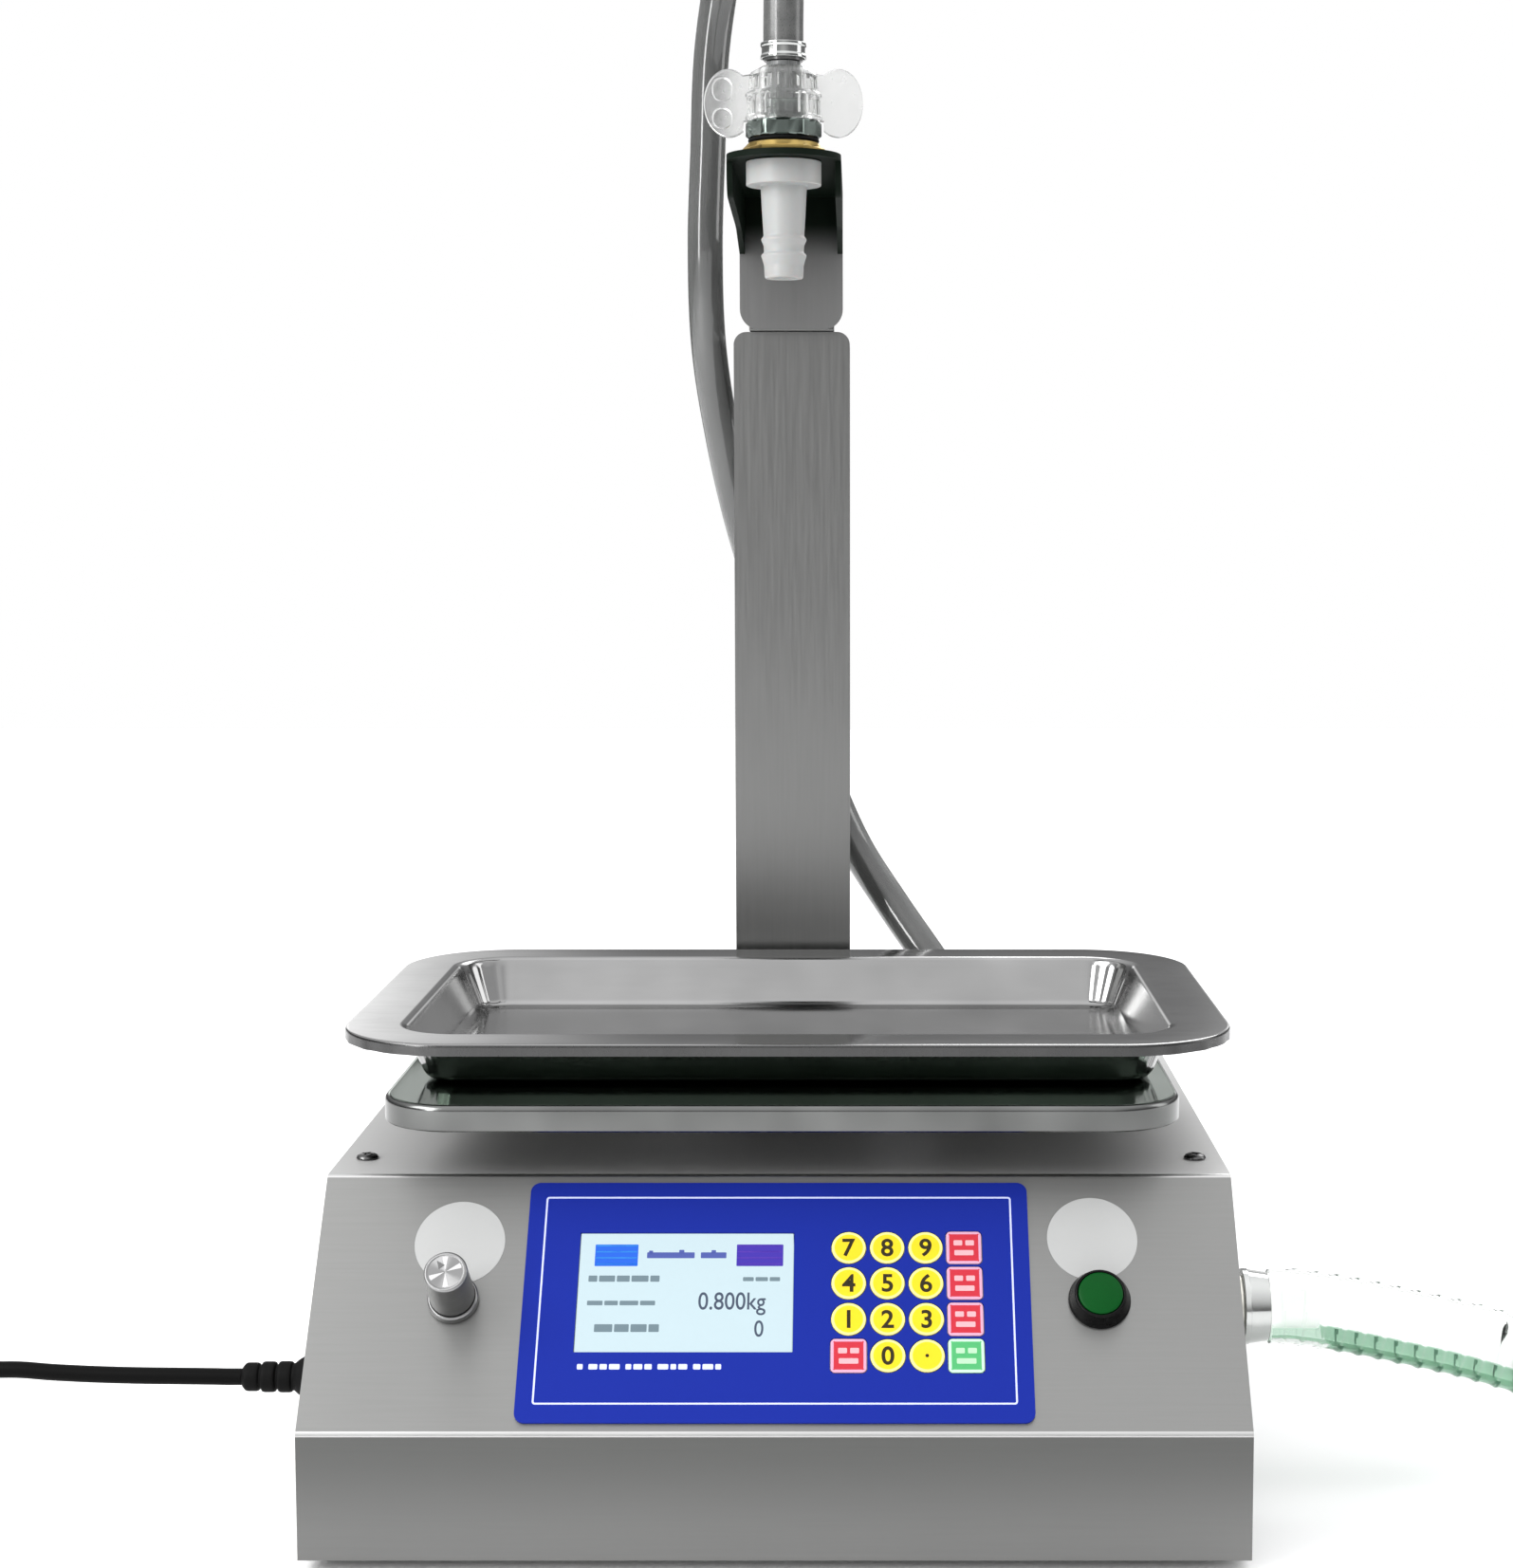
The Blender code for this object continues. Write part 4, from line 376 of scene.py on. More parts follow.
def filleted(corners, radii, steps=8):
    points = []
    for k, (corner, radius) in enumerate(zip(corners, radii)):
        here = Vector(corner)
        if radius == 0:
            points.append(tuple(here))
            continue
        back = (Vector(corners[k - 1]) - here).normalized()
        on = (Vector(corners[(k + 1) % len(corners)]) - here).normalized()
        half = back.angle(on) / 2
        middle = here + (back + on).normalized() * (radius / math.sin(half))
        start = here + back * (radius / math.tan(half)) - middle
        end = here + on * (radius / math.tan(half)) - middle
        for step in range(steps + 1):
            share = step / steps
            way = start.normalized() * math.sin((1 - share) * (math.pi - 2 * half))
            way += end.normalized() * math.sin(share * (math.pi - 2 * half))
            points.append(tuple(middle + way.normalized() * radius))
    return points


def loose(name, bm):
    bmesh.ops.recalc_face_normals(bm, faces=bm.faces)
    return placed(name, mesh_of(name, bm))


def carved(bm, cuts=(), adds=()):
    """The body with other bodies joined to it and others cut out of it."""
    target = loose("carving", bm)
    tools = []
    for operation, bodies in (("UNION", adds), ("DIFFERENCE", cuts)):
        for body in bodies:
            tool = loose("tool", body)
            modifier = target.modifiers.new("carve", "BOOLEAN")
            modifier.operation = operation
            modifier.object = tool
            tools.append(tool)
    bpy.context.view_layer.update()
    found = bmesh.new()
    found.from_object(target, bpy.context.evaluated_depsgraph_get())
    for old in [target, *tools]:
        bpy.data.meshes.remove(old.data)
    bmesh.ops.remove_doubles(found, verts=found.verts, dist=1e-6)
    bmesh.ops.dissolve_degenerate(found, edges=found.edges, dist=1e-6)
    return found


def bevelled(bm, width, segments=3, where=None):
    edges = [
        e for e in bm.edges
        if len(e.link_faces) == 2 and e.calc_face_angle(0) > BEVEL_FROM and (not where or where(e))
    ]
    bmesh.ops.bevel(
        bm, geom=edges, offset=width, segments=segments, profile=0.5, affect="EDGES",
        clamp_overlap=True,
    )
    return bm


def moved(bm, matrix):
    bm.transform(matrix)
    return bm


def joined(bodies):
    found = bmesh.new()
    for body in bodies:
        mesh = mesh_of("joined", body)
        found.from_mesh(mesh)
        bpy.data.meshes.remove(mesh)
    return found


def piece(name, bm, looks, body="machine", at=MACHINE, stands_for=None, slot=None, pick=None,
          local=False):
    """A piece of the visible machine; pick gives the number of a face's look."""
    if not local:
        bm.transform(at)
    bmesh.ops.recalc_face_normals(bm, faces=bm.faces)
    if pick:
        back = Matrix.Identity(4) if local else at.inverted()
        for face in bm.faces:
            face.material_index = pick(back @ face.calc_center_median(), face)
    mesh = mesh_of(name, bm)
    mesh.shade_smooth()
    mesh.set_sharp_from_angle(angle=SHARP)
    for look in looks.split():
        mesh.materials.append(paints[look])
    made = placed(name, mesh)
    if local:
        made.matrix_world = at
    weighted = made.modifiers.new("weighted", "WEIGHTED_NORMAL")
    weighted.keep_sharp = True
    if body:
        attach(made, body)
    if stands_for:
        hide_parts(stands_for)
    return made


def held(made, parent):
    made.parent = parent
    made.matrix_parent_inverse = parent.matrix_world.inverted()


def print_on(parent, name, bm, look="print", body="machine", at=SLOPE, slot="blue_overlay"):
    held(piece(name, bm, look, body, at, None, slot), parent)


# Lines
def eased(share):
    return share * share * (3 - 2 * share)


def smooth_line(points, step):
    route = [Vector(p) for p in points]
    ends = [2 * route[0] - route[1], *route, 2 * route[-1] - route[-2]]
    dense = []
    for before, a, b, after in zip(ends, ends[1:], ends[2:], ends[3:]):
        reach = (b - a).length / 3
        leave = a + (b - before).normalized() * reach
        arrive = b - (after - a).normalized() * reach
        dense += geometry.interpolate_bezier(a, leave, arrive, b, CURVE_STEPS)[:-1]
    return even(dense + [route[-1]], step)


def even(line, step):
    marks = [0.0]
    for a, b in zip(line, line[1:]):
        marks.append(marks[-1] + (b - a).length)
    count = max(2, round(marks[-1] / step))
    found, k = [], 0
    for n in range(count + 1):
        want = marks[-1] * n / count
        while k < len(marks) - 2 and marks[k + 1] < want:
            k += 1
        share = (want - marks[k]) / max(marks[k + 1] - marks[k], 1e-9)
        found.append(line[k].lerp(line[k + 1], share))
    return found


def length_of(points):
    return sum((b - a).length for a, b in zip(points, points[1:]))


def rings_along(points, radius, sides):
    rings, across = [], Vector((0, 1, 0))
    for k, point in enumerate(points):
        ahead = points[min(k + 1, len(points) - 1)] - points[max(k - 1, 0)]
        along = ahead.normalized()
        across = (across - along * across.dot(along)).normalized()
        up = along.cross(across)
        ring = [across * math.cos(a) + up * math.sin(a) for a in circle(sides)]
        rings.append([point + radius * way for way in ring])
    return rings


def pipe(line, outer, bore, sides):
    """A hose's wall; outer gives the rings of its outside."""
    return skin(outer + rings_along(line, bore, sides)[::-1], closed=True)


def in_row(points):
    return [ORIGIN + Vector(p) for p in points]


def lead_cord(name, line, stands_for):
    """A stretch of the mains lead as a curve with one spline."""
    data = bpy.data.curves.new(name, "CURVE")
    data.dimensions = "3D"
    data.bevel_depth = CORD_RADIUS
    data.bevel_resolution = 5
    data.use_fill_caps = True
    spline = data.splines.new("POLY")
    spline.points.add(len(line) - 1)
    for knot, point in zip(spline.points, in_row(line)):
        knot.co = (*point, 1)
    spline.use_smooth = True
    data.materials.append(paints["cord"])
    made = placed(name, data)
    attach(made, "machine")
    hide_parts(stands_for)
    return made


# Output hose, hanging over the column
OUTPUT_ROUTE = (
    (0.0, 0.005, 0.6), (0.0, 0.006, 0.62), (-0.003, 0.018, 0.657),
    (-0.009, 0.045, 0.6838), (-0.0165, 0.078, 0.6945), (-0.024, 0.11, 0.6838),
    (-0.031, 0.136, 0.656), (-0.0378, 0.147, 0.615), (-0.04, 0.15, 0.57),
    (-0.0416, 0.152, 0.525), (-0.0406, 0.16, 0.48), (-0.035, 0.174, 0.438),
    (-0.0262, 0.184, 0.396), (-0.013, 0.1862, 0.352), (0.0015, 0.186, 0.309),
    (0.015, 0.184, 0.268), (0.0297, 0.178, 0.2352), (0.0478, 0.167, 0.2078),
    (0.065, 0.157, 0.184), (0.0758, 0.1515, 0.169),
)
OUTPUT_BORE = 0.0058
OUTPUT_STEP = 0.004
OUTPUT_SIDES = 32
OUTPUT_EDGE = 0.0004
# Depth and height that bound the braided end: faces in front of the one and below the other
BRAID_FRONT, BRAID_TOP = 0.0165, 0.655


def output_hose():
    start = Vector((0, NOZZLE_Y, HOSE_START))
    end = OUTLET + Vector((0, 0, OUTLET_TOP + GAP))
    line = smooth_line([start, *OUTPUT_ROUTE, end + Vector((0, 0, HOSE_RADIUS)), end], OUTPUT_STEP)
    line[1].x, line[1].y = start.x, start.y
    line[-2].x, line[-2].y = end.x, end.y
    outer = rings_along(line, HOSE_RADIUS, OUTPUT_SIDES)
    narrow = rings_along(line, HOSE_RADIUS - OUTPUT_EDGE, OUTPUT_SIDES)
    outer[0], outer[-1] = narrow[0], narrow[-1]
    hose = piece(
        "clear_output_hose", pipe(line, outer, OUTPUT_BORE, OUTPUT_SIDES), "hose braid", None,
        MACHINE, "output_hose", "clear_plastic",
        lambda centre, face: int(centre.y < BRAID_FRONT and centre.z < BRAID_TOP),
    )
    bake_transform(hose)
    in_row([start])[0]
    length_of(line)
    in_row(line)


# Suction hose, ribbed, in one open loop on the table
SUCTION_ROUTE = (
    (0.045, -0.06, 0.0686), (0.06, -0.06, 0.066), (0.08, -0.0605, 0.0619),
    (0.11, -0.062, 0.0553), (0.15, -0.068, 0.0438), (0.19, -0.082, 0.031),
    (0.23, -0.102, 0.021), (0.27, -0.119, 0.0166), (0.31, -0.128, 0.016),
)
SUCTION_RADIUS = 0.0159
SUCTION_WALL = 0.0014
SUCTION_RIB = 0.0007
SUCTION_PITCH = 0.0085
SUCTION_LOOP = 0.135
SUCTION_INNER = 0.13
SUCTION_TURN = math.radians(40)
SUCTION_SIDES = 36
PER_PITCH = 8
# The green stain in degrees around the hose, and the height of the wave that counts as helix
STAIN_FROM, STAIN_TO = 222, 325
HELIX_FROM = 0.86


def suction_route():
    def sweep(middle, radius, angle, steps=18):
        angles = [angle * k / steps for k in range(1, steps + 1)]
        return [middle + radius * Vector((math.sin(a), -math.cos(a), 0)) for a in angles]

    start = Vector((INLET_END + GAP, INLET.y, INLET.z))
    free = [Vector((HALF_WIDTH, 0, 0)) + Vector(p) for p in SUCTION_ROUTE]
    outer = sweep(free[-1] + Vector((0, SUCTION_LOOP, 0)), SUCTION_LOOP, math.pi)
    inner = sweep(outer[-1] - Vector((0, SUCTION_INNER, 0)), -SUCTION_INNER, SUCTION_TURN)
    heading = Vector((-math.cos(SUCTION_TURN), -math.sin(SUCTION_TURN), 0))
    end = inner[-1] + heading * 2 * SUCTION_RADIUS
    straight = start + Vector((SUCTION_RADIUS / 2, 0, 0))
    return [start, straight, *free, *outer, *inner, end], end, heading


def suction_hose():
    """A thin clear wall whose reinforcing helix stands out as slanted ribs."""
    route, end, heading = suction_route()
    line = smooth_line(route, SUCTION_PITCH / PER_PITCH)
    for knot in line[1:3]:
        knot.y, knot.z = line[0].y, line[0].z
    low = SUCTION_RADIUS - SUCTION_RIB
    last = len(line) - 1
    outer = []
    for k, (point, ring) in enumerate(zip(line, rings_along(line, 1.0, SUCTION_SIDES))):
        fade = min(1, k / PER_PITCH, (last - k) / PER_PITCH)
        around = []
        for n, spot in enumerate(ring):
            wave = 0.5 + 0.5 * math.cos(TURN * (k / PER_PITCH - n / SUCTION_SIDES))
            around.append(point + (spot - point) * (low + SUCTION_RIB * (wave ** 3) * fade))
        outer.append(around)

    def pick(centre, face):
        """The lower third is stained green, and the helix is darker than the wall between."""
        k, n = divmod(face.index, SUCTION_SIDES)
        stained = STAIN_FROM < 360 * (n + 0.5) / SUCTION_SIDES < STAIN_TO and k > 3 * PER_PITCH
        wave = math.cos(TURN * ((k + 0.5) / PER_PITCH - (n + 0.5) / SUCTION_SIDES))
        return int(stained) + (2 if k < last and wave > HELIX_FROM else 0)

    hose = piece(
        "ribbed_suction_hose", pipe(line, outer, low - SUCTION_WALL, SUCTION_SIDES),
        "suction suction_low suction_thread suction_rib", "machine", MACHINE, "suction_hose",
        "clear_plastic", pick,
    )
    strainer = suction_strainer(end, heading)
    in_row([line[0]])[0]
    length_of(line)
    in_row(line)


def suction_strainer(end, heading):
    """A foot strainer: a neck inside the hose, a collar and a slotted cage."""
    neck, radius, length = 0.0112, 0.015, 0.046
    profile = [
        (0, -0.018), (neck, -0.018), (neck, GAP), (radius, GAP), (radius, 0.006),
        (radius - 0.001, 0.0075), (radius - 0.001, 0.039), (radius, 0.0405), (radius, length),
        (radius - 0.003, length), (0, length),
    ]
    slots = []
    for angle in circle(12):
        for low, high in ((0.01, 0.021), (0.025, 0.036)):
            slot = block((radius - 0.003, -0.0011, low), (radius + 0.001, 0.0011, high))
            slots.append(moved(slot, spin(angle)))
    aim = Vector((0, 0, 1)).rotation_difference(heading).to_matrix().to_4x4()
    return piece(
        "foot_strainer", carved(turned(profile, soft=0.0006), slots), "black", "machine",
        MACHINE @ shift(*end) @ aim, "suction_strainer", "black_plastic",
    )


# Mains lead
CORD_ROUTE = (
    (-0.05, -0.08, 0.0471), (-0.065, -0.08, 0.0473), (-0.082, -0.08, 0.0475),
    (-0.1, -0.08, 0.048), (-0.118, -0.08, 0.0489), (-0.133, -0.08, 0.05),
    (-0.147, -0.08, 0.0492), (-0.16, -0.08, 0.045), (-0.175, -0.08, 0.0362),
    (-0.19, -0.08, 0.0265), (-0.208, -0.08, 0.0162), (-0.224, -0.08, 0.0113),
)
CORD_END = -0.238
COIL_RADIUS = 0.0408
COIL_TURNS = 3
COIL_SPACING = 0.0075
COIL_TURNING_SHARE = 0.1
COIL_STEPS = 48
COIL_TAIL = 0.065
COIL_TAIL_FLAT = 0.028
TAIL_STEPS = 12
PLUG_HEIGHT = 0.02


def free_line():
    """The stretch from the housing down to the coil on the table."""
    start = CORD + Vector((-RELIEF_LENGTH - GAP, 0, 0))
    side = Vector((-HALF_WIDTH, 0, 0))
    end = side + Vector((CORD_END, CORD.y, 3 * CORD_RADIUS + 2 * GAP))
    straight = Vector((2 * CORD_RADIUS, 0, 0))
    free = [side + Vector(p) for p in CORD_ROUTE]
    line = smooth_line([start, start - straight / 2, *free, end + straight, end], CORD_RADIUS)
    for knot in line[1:3]:
        knot.y, knot.z = start.y, start.z
    for knot in line[-3:-1]:
        knot.y, knot.z = end.y, end.z
    return line


def coil_line(start):
    """The coil spirals in, drops and spirals out to the plug."""
    reach = COIL_RADIUS + COIL_SPACING * COIL_TURNS / 2
    first = start - Vector((2 * CORD_RADIUS + GAP, 0, 0))
    middle = Vector((first.x, first.y + reach, 0))
    points = [start - Vector((GAP, 0, 0)), first]
    for k in range(1, 2 * COIL_TURNS * COIL_STEPS + 1):
        turn = k / COIL_STEPS
        inward = COIL_TURNS - math.hypot(turn - COIL_TURNS, COIL_TURNING_SHARE)
        radius = reach - COIL_SPACING * inward
        fall = min(max((turn - COIL_TURNS + 0.25) * 2, 0), 1)
        height = start.z + (CORD_RADIUS - start.z) * eased(fall)
        a = TURN * turn
        points.append(middle + Vector((-radius * math.sin(a), -radius * math.cos(a), height)))
    out = points[-1]
    rise = PLUG_HEIGHT / 2 - CORD_RADIUS
    climb = COIL_TAIL - COIL_TAIL_FLAT - 2 * CORD_RADIUS
    points.append(out - Vector((COIL_TAIL_FLAT / 2, 0, 0)))
    for k in range(TAIL_STEPS + 1):
        share = k / TAIL_STEPS
        points.append(out + Vector((-COIL_TAIL_FLAT - climb * share, 0, rise * eased(share))))
    points.append(out + Vector((-COIL_TAIL, 0, rise)))
    return points


def mains_lead():
    line = free_line()
    coil = coil_line(line[-1])
    relief = strain_relief()
    plug = mains_plug(coil[-1])
    free = lead_cord("mains_lead", line, "power_cord")
    in_row([line[0]])[0]
    length_of(line)
    wound = lead_cord("mains_lead_coil", coil, "power_cord_coil")
    in_row([coil[0]])[0]
    length_of(coil)


def strain_relief():
    """A moulded sleeve: a wide foot that flares down to three ribs with narrow grooves."""
    profile = [
        (0, -0.0072), (0.007, -0.0072), (0.007, GAP), (0.0112, GAP), (0.0112, 0.0085),
        (0.0106, 0.0108), (0.0088, 0.014), (0.007, 0.017), (0.0056, 0.0186), (0.0054, 0.0194),
    ]
    x, rib = 0.0198, 0.0052
    for radius in (0.0063, 0.0062, 0.0058):
        profile += [(radius - 0.0002, x), (radius, x + 0.001), (radius, x + rib - 0.001)]
        profile += [(radius - 0.0002, x + rib), (radius - 0.0013, x + rib + 0.0005)]
        profile.append((radius - 0.0013, x + rib + 0.0011))
        x += rib + 0.0016
    profile = profile[:-2] + [(0.004, RELIEF_LENGTH), (0, RELIEF_LENGTH)]
    return piece(
        "ribbed_strain_relief", turned(profile, soft=0.0005), "rubber", "machine",
        MACHINE @ shift(*CORD) @ spin(-QUARTER, "Y"), "strain_relief", "black_rubber",
    )


def mains_plug(end):
    """A moulded three-pin plug lying flat, with grip grooves on its sides."""
    spot = Vector(end) - Vector((GAP, 0, 0))
    length, width, neck = 0.034, 0.03, 0.02
    outline = rounded(width / 2, length / 2, 0.006)
    body = bevelled(extruded(outline, -PLUG_HEIGHT / 2, PLUG_HEIGHT / 2), 0.002)
    body = moved(body, shift(*(spot - Vector((neck + length / 2, 0, 0)))) @ spin(QUARTER))
    sleeve = [(CORD_RADIUS + GAP, 0), (0.005, 0.006)]
    for k in range(4):
        x = 0.0068 + 0.003 * k
        sleeve += [(0.0056, x), (0.0048, x + 0.0003), (0.0048, x + 0.0012), (0.0058, x + 0.0015)]
    sleeve += [(0.0062, neck), (0.0062, neck + 0.006)]
    sleeve = moved(turned(sleeve, 32), shift(*spot) @ spin(-QUARTER, "Y"))
    grooves = []
    for side in (-1, 1):
        for k in range(4):
            x = spot.x - neck - 0.01 - 0.0045 * k
            y = spot.y + side * (width / 2 + 0.0004)
            grooves.append(block((x - 0.0008, y - 0.001, 0.002), (x + 0.0008, y + 0.001, 0.018)))
    plug = piece(
        "moulded_plug", carved(body, grooves, [sleeve]), "rubber", "machine", MACHINE,
        "power_plug", "black_rubber",
    )
    face = spot.x - neck - length
    pins = (
        (-0.0063, 0.00225, 0.0016, 0.0064),
        (0.0063, 0.00225, 0.0016, 0.0064),
        (0, -0.0045, 0.0064, 0.0016),
    )
    for n, (y, z, wide, tall) in enumerate(pins):
        low = (face - 0.016, spot.y + y - wide / 2, spot.z + z - tall / 2)
        high = (face + 0.0016, spot.y + y + wide / 2, spot.z + z + tall / 2)
        pin = bevelled(block(low, high), 0.0005)
        held(piece(f"plug_pin_{n}", pin, "brass", slot="brass"), plug)
    return plug


# Housing
KNOB = (-0.125, 0.054)
BUTTON = (0.1248, 0.054)
DISPLAY = (-0.0355, 0.0573)
DISPLAY_HALF = (0.0416, 0.02475)
OVERLAY_HALF = (0.09825, 0.05)
OVERLAY_RISE = 0.054
OVERLAY_TOP = 0.0014
SCREW_X = HALF_WIDTH - 0.011
SCREW_Y = SLOPE_RUN + 0.027 - HALF_DEPTH
COVER_FRONT = SLOPE_RUN - HALF_DEPTH
FOOT_IN = 0.026


def cover_outline(inset, bottom, back):
    front = -HALF_DEPTH + inset
    slide = inset * math.tan(SLOPE_ANGLE / 2 - QUARTER / 2)
    drop = inset * math.tan(SLOPE_ANGLE / 2)
    corners = [
        (back, bottom), (back, TOP_Z - inset), (-HALF_DEPTH + SLOPE_RUN + drop, TOP_Z - inset),
        (front, FOLD_Z + slide), (front, bottom),
    ]
    bend = FOLD_RADIUS - inset
    return filleted(corners, (0, 0, bend, bend, 0), 10)


def display_window(low, high):
    outline = rounded(DISPLAY_HALF[0] + GAP, DISPLAY_HALF[1] + GAP, GAP, 2)
    return extruded(outline, low, high)


def housing():
    outer = extruded(cover_outline(0, FOOT_HEIGHT, HALF_DEPTH), -HALF_WIDTH, HALF_WIDTH)
    outer = bevelled(moved(outer, ALONG_X), 0.0009, 3)
    hollow = cover_outline(SHEET, FOOT_HEIGHT - OVERRUN, HALF_DEPTH + OVERRUN)
    slope = MACHINE.inverted() @ SLOPE
    deep = SHEET + OVERRUN
    cuts = [
        moved(extruded(hollow, SHEET - HALF_WIDTH, HALF_WIDTH - SHEET), ALONG_X),
        moved(display_window(-deep, OVERRUN), slope @ shift(*DISPLAY, 0)),
    ]
    for spot, radius in ((KNOB, 0.0035), (BUTTON, 0.0079)):
        cuts.append(moved(rod(radius + GAP, -deep, OVERRUN, 48), slope @ shift(*spot, 0)))
    for spot, radius in ((INLET, 0.01), (CORD, 0.007)):
        cuts.append(moved(rod(radius + GAP, -deep, deep), shift(*spot) @ SIDEWAYS))
    post = extruded(rounded(0.019, 0.019, 0.005), -deep, deep)
    cuts.append(moved(post, shift(0.051, -0.002, TOP_Z)))
    cuts.append(moved(rod(0.006 + GAP, -deep, deep), shift(OUTLET.x, OUTLET.y, TOP_Z)))
    for sign in (-1, 1):
        hole = rod(0.0017 + GAP, -deep, deep, 32)
        cuts.append(moved(hole, shift(sign * SCREW_X, SCREW_Y, TOP_Z)))

    def pick(centre, face):
        """The front takes painted shade, the lines of the two folds a painted highlight and the top
        painted light, each as its own finish.
        """
        if centre.y > COVER_FRONT and face.normal.z > 0.98:
            return 3
        if abs(face.normal.x) > 0.1 or face.normal.y > -0.05:
            return 0
        if face.normal.z < 0.02:
            return 1
        return 0 if abs(face.normal.z - math.cos(SLOPE_ANGLE)) < 0.02 else 2

    piece(
        "folded_cover", carved(outer, cuts), "steel front fold top", "machine", MACHINE,
        "housing_cover", "brushed_steel", pick,
    )
    for name, sign in (("left", -1), ("right", 1)):
        screw(f"cover_screw_{name}", f"pan_screw_{name}", sign)
    for row, sy in (("front", -1), ("rear", 1)):
        for name, sx in (("left", -1), ("right", 1)):
            foot(f"foot_{row}_{name}", f"rubber_foot_{row}_{name}", sx, sy)


def screw(solid, name, sign):
    """A pan-head screw with a cross recess."""
    profile = [
        (0, -0.006), (0.0017, -0.006), (0.0017, GAP), (0.0045, GAP), (0.0045, 0.0007),
        (0.004, 0.0015), (0.0027, 0.0021), (0, 0.0022),
    ]
    cross = [
        block((-x, -y, 0.0008), (x, y, 0.003)) for x, y in ((0.0026, 0.0006), (0.0006, 0.0026))
    ]
    at = MACHINE @ shift(sign * SCREW_X, SCREW_Y, TOP_Z) @ spin(0.4 * sign)
    head = carved(turned(profile, 48, soft=0.0003), cross)
    piece(name, head, "screw", "machine", at, solid, "chrome")


def foot(solid, name, sx, sy):
    top = FOOT_HEIGHT - GAP
    radius = 0.011
    profile = [(0, 0.0004), (0.004, 0.0004), (0.0045, 0), (radius - GAP, 0), (radius, top)]
    profile.append((0, top))
    at = MACHINE @ shift(sx * (HALF_WIDTH - FOOT_IN), sy * (HALF_DEPTH - FOOT_IN), 0)
    piece(name, turned(profile, 48, soft=0.0005), "rubber", "machine", at, solid, "black_rubber")


# Overlay, display and keys
KEYS = ("7", "8", "9", "a", "4", "5", "6", "b", "1", "2", "3", "c", "d", "0", "dot", "e")
SQUARE_KEYS = "abcde"
KEY_PITCH = 0.015
KEY_CENTRE = (0.0503, 0.0533)
KEY_RADIUS = 0.0067
KEY_HALF = 0.0069
KEY_CORNER = 0.0018
KEY_LOW = GAP + 0.0004
KEY_TOP = OVERLAY_TOP + 0.0003
INK = 0.00004
THIN_INK = 0.00003
BAR_HALF, BAR_CORNER = 0.0011, 0.0004


def key_places():
    for k, key in enumerate(KEYS):
        x = KEY_CENTRE[0] + (k % 4 - 1.5) * KEY_PITCH
        yield key, (x, KEY_CENTRE[1] - (k // 4 - 1.5) * KEY_PITCH, 0)


def key_outline(key, grow, steps=10):
    if key in SQUARE_KEYS:
        half = KEY_HALF + grow
        return rounded(half, half, KEY_CORNER + grow, steps)
    return arc((0, 0), KEY_RADIUS + grow, 0, TURN, 4 * steps + 3)[:-1]


def bar(x, y, wide, low, thick):
    """A printed bar that stands for a word."""
    outline = rounded(wide / 2, BAR_HALF, BAR_CORNER, 3, (x + wide / 2, y))
    return extruded(outline, low, low + thick)


def overlay():
    sheet = rounded(*OVERLAY_HALF, 0.004, 10, (0, OVERLAY_RISE))
    panel = bevelled(extruded(sheet, GAP, OVERLAY_TOP), 0.0003, 2)
    cuts = [moved(display_window(-OVERRUN, OVERLAY_TOP + OVERRUN), shift(*DISPLAY, 0))]
    for key, place in key_places():
        hole = extruded(key_outline(key, GAP), -OVERRUN, OVERLAY_TOP + OVERRUN)
        cuts.append(moved(hole, shift(*place)))
    panel = piece("blue_panel", carved(panel, cuts), "blue", "machine", SLOPE, "keypad_overlay",
                  "blue_overlay")
    half, line, middle = (0.0918, 0.0433), 0.0007, (0, OVERLAY_RISE + 0.0005)
    outer = rounded(*half, 0.0012, 6, middle)
    inner = rounded(half[0] - line, half[1] - line, 0.0006, 6, middle)
    low, high = OVERLAY_TOP, OVERLAY_TOP + INK
    strip = [
        [(x, y, z) for x, y in edge]
        for edge, z in ((outer, low), (outer, high), (inner, high), (inner, low))
    ]
    print_on(panel, "border_line", skin(strip, closed=True))
    marks = []
    x = DISPLAY[0] - DISPLAY_HALF[0] + 0.0015
    y = DISPLAY[1] - DISPLAY_HALF[1] - 0.0062
    for k in range(13):
        wide = (0.0022, 0.0034, 0.0028, 0.0041)[k % 4]
        marks.append(bar(x, y, wide, OVERLAY_TOP, THIN_INK))
        x += wide + (0.0008 if k % 3 else 0.0022)
    print_on(panel, "panel_marks", joined(marks))


def lettering(text, size, thick=INK, bold=0.0):
    """Upright figures as a mesh, centred on the origin, in the plane of X and Y."""
    data = bpy.data.curves.new("figures", "FONT")
    data.body = text
    data.size = size
    data.extrude = thick / 2
    data.offset = bold
    data.align_x = "CENTER"
    data.align_y = "CENTER"
    data.resolution_u = 6
    holder = placed("figures", data)
    bpy.context.view_layer.update()
    solid = holder.evaluated_get(bpy.context.evaluated_depsgraph_get())
    mesh = bpy.data.meshes.new_from_object(solid)
    bm = bmesh.new()
    bm.from_mesh(mesh)
    bpy.data.meshes.remove(mesh)
    bpy.data.curves.remove(data)
    bmesh.ops.remove_doubles(bm, verts=bm.verts, dist=1e-7)
    xs, ys = [v.co.x for v in bm.verts], [v.co.y for v in bm.verts]
    centre = (-(min(xs) + max(xs)) / 2, -(min(ys) + max(ys)) / 2, thick / 2)
    bmesh.ops.translate(bm, verts=bm.verts, vec=centre)
    return bm


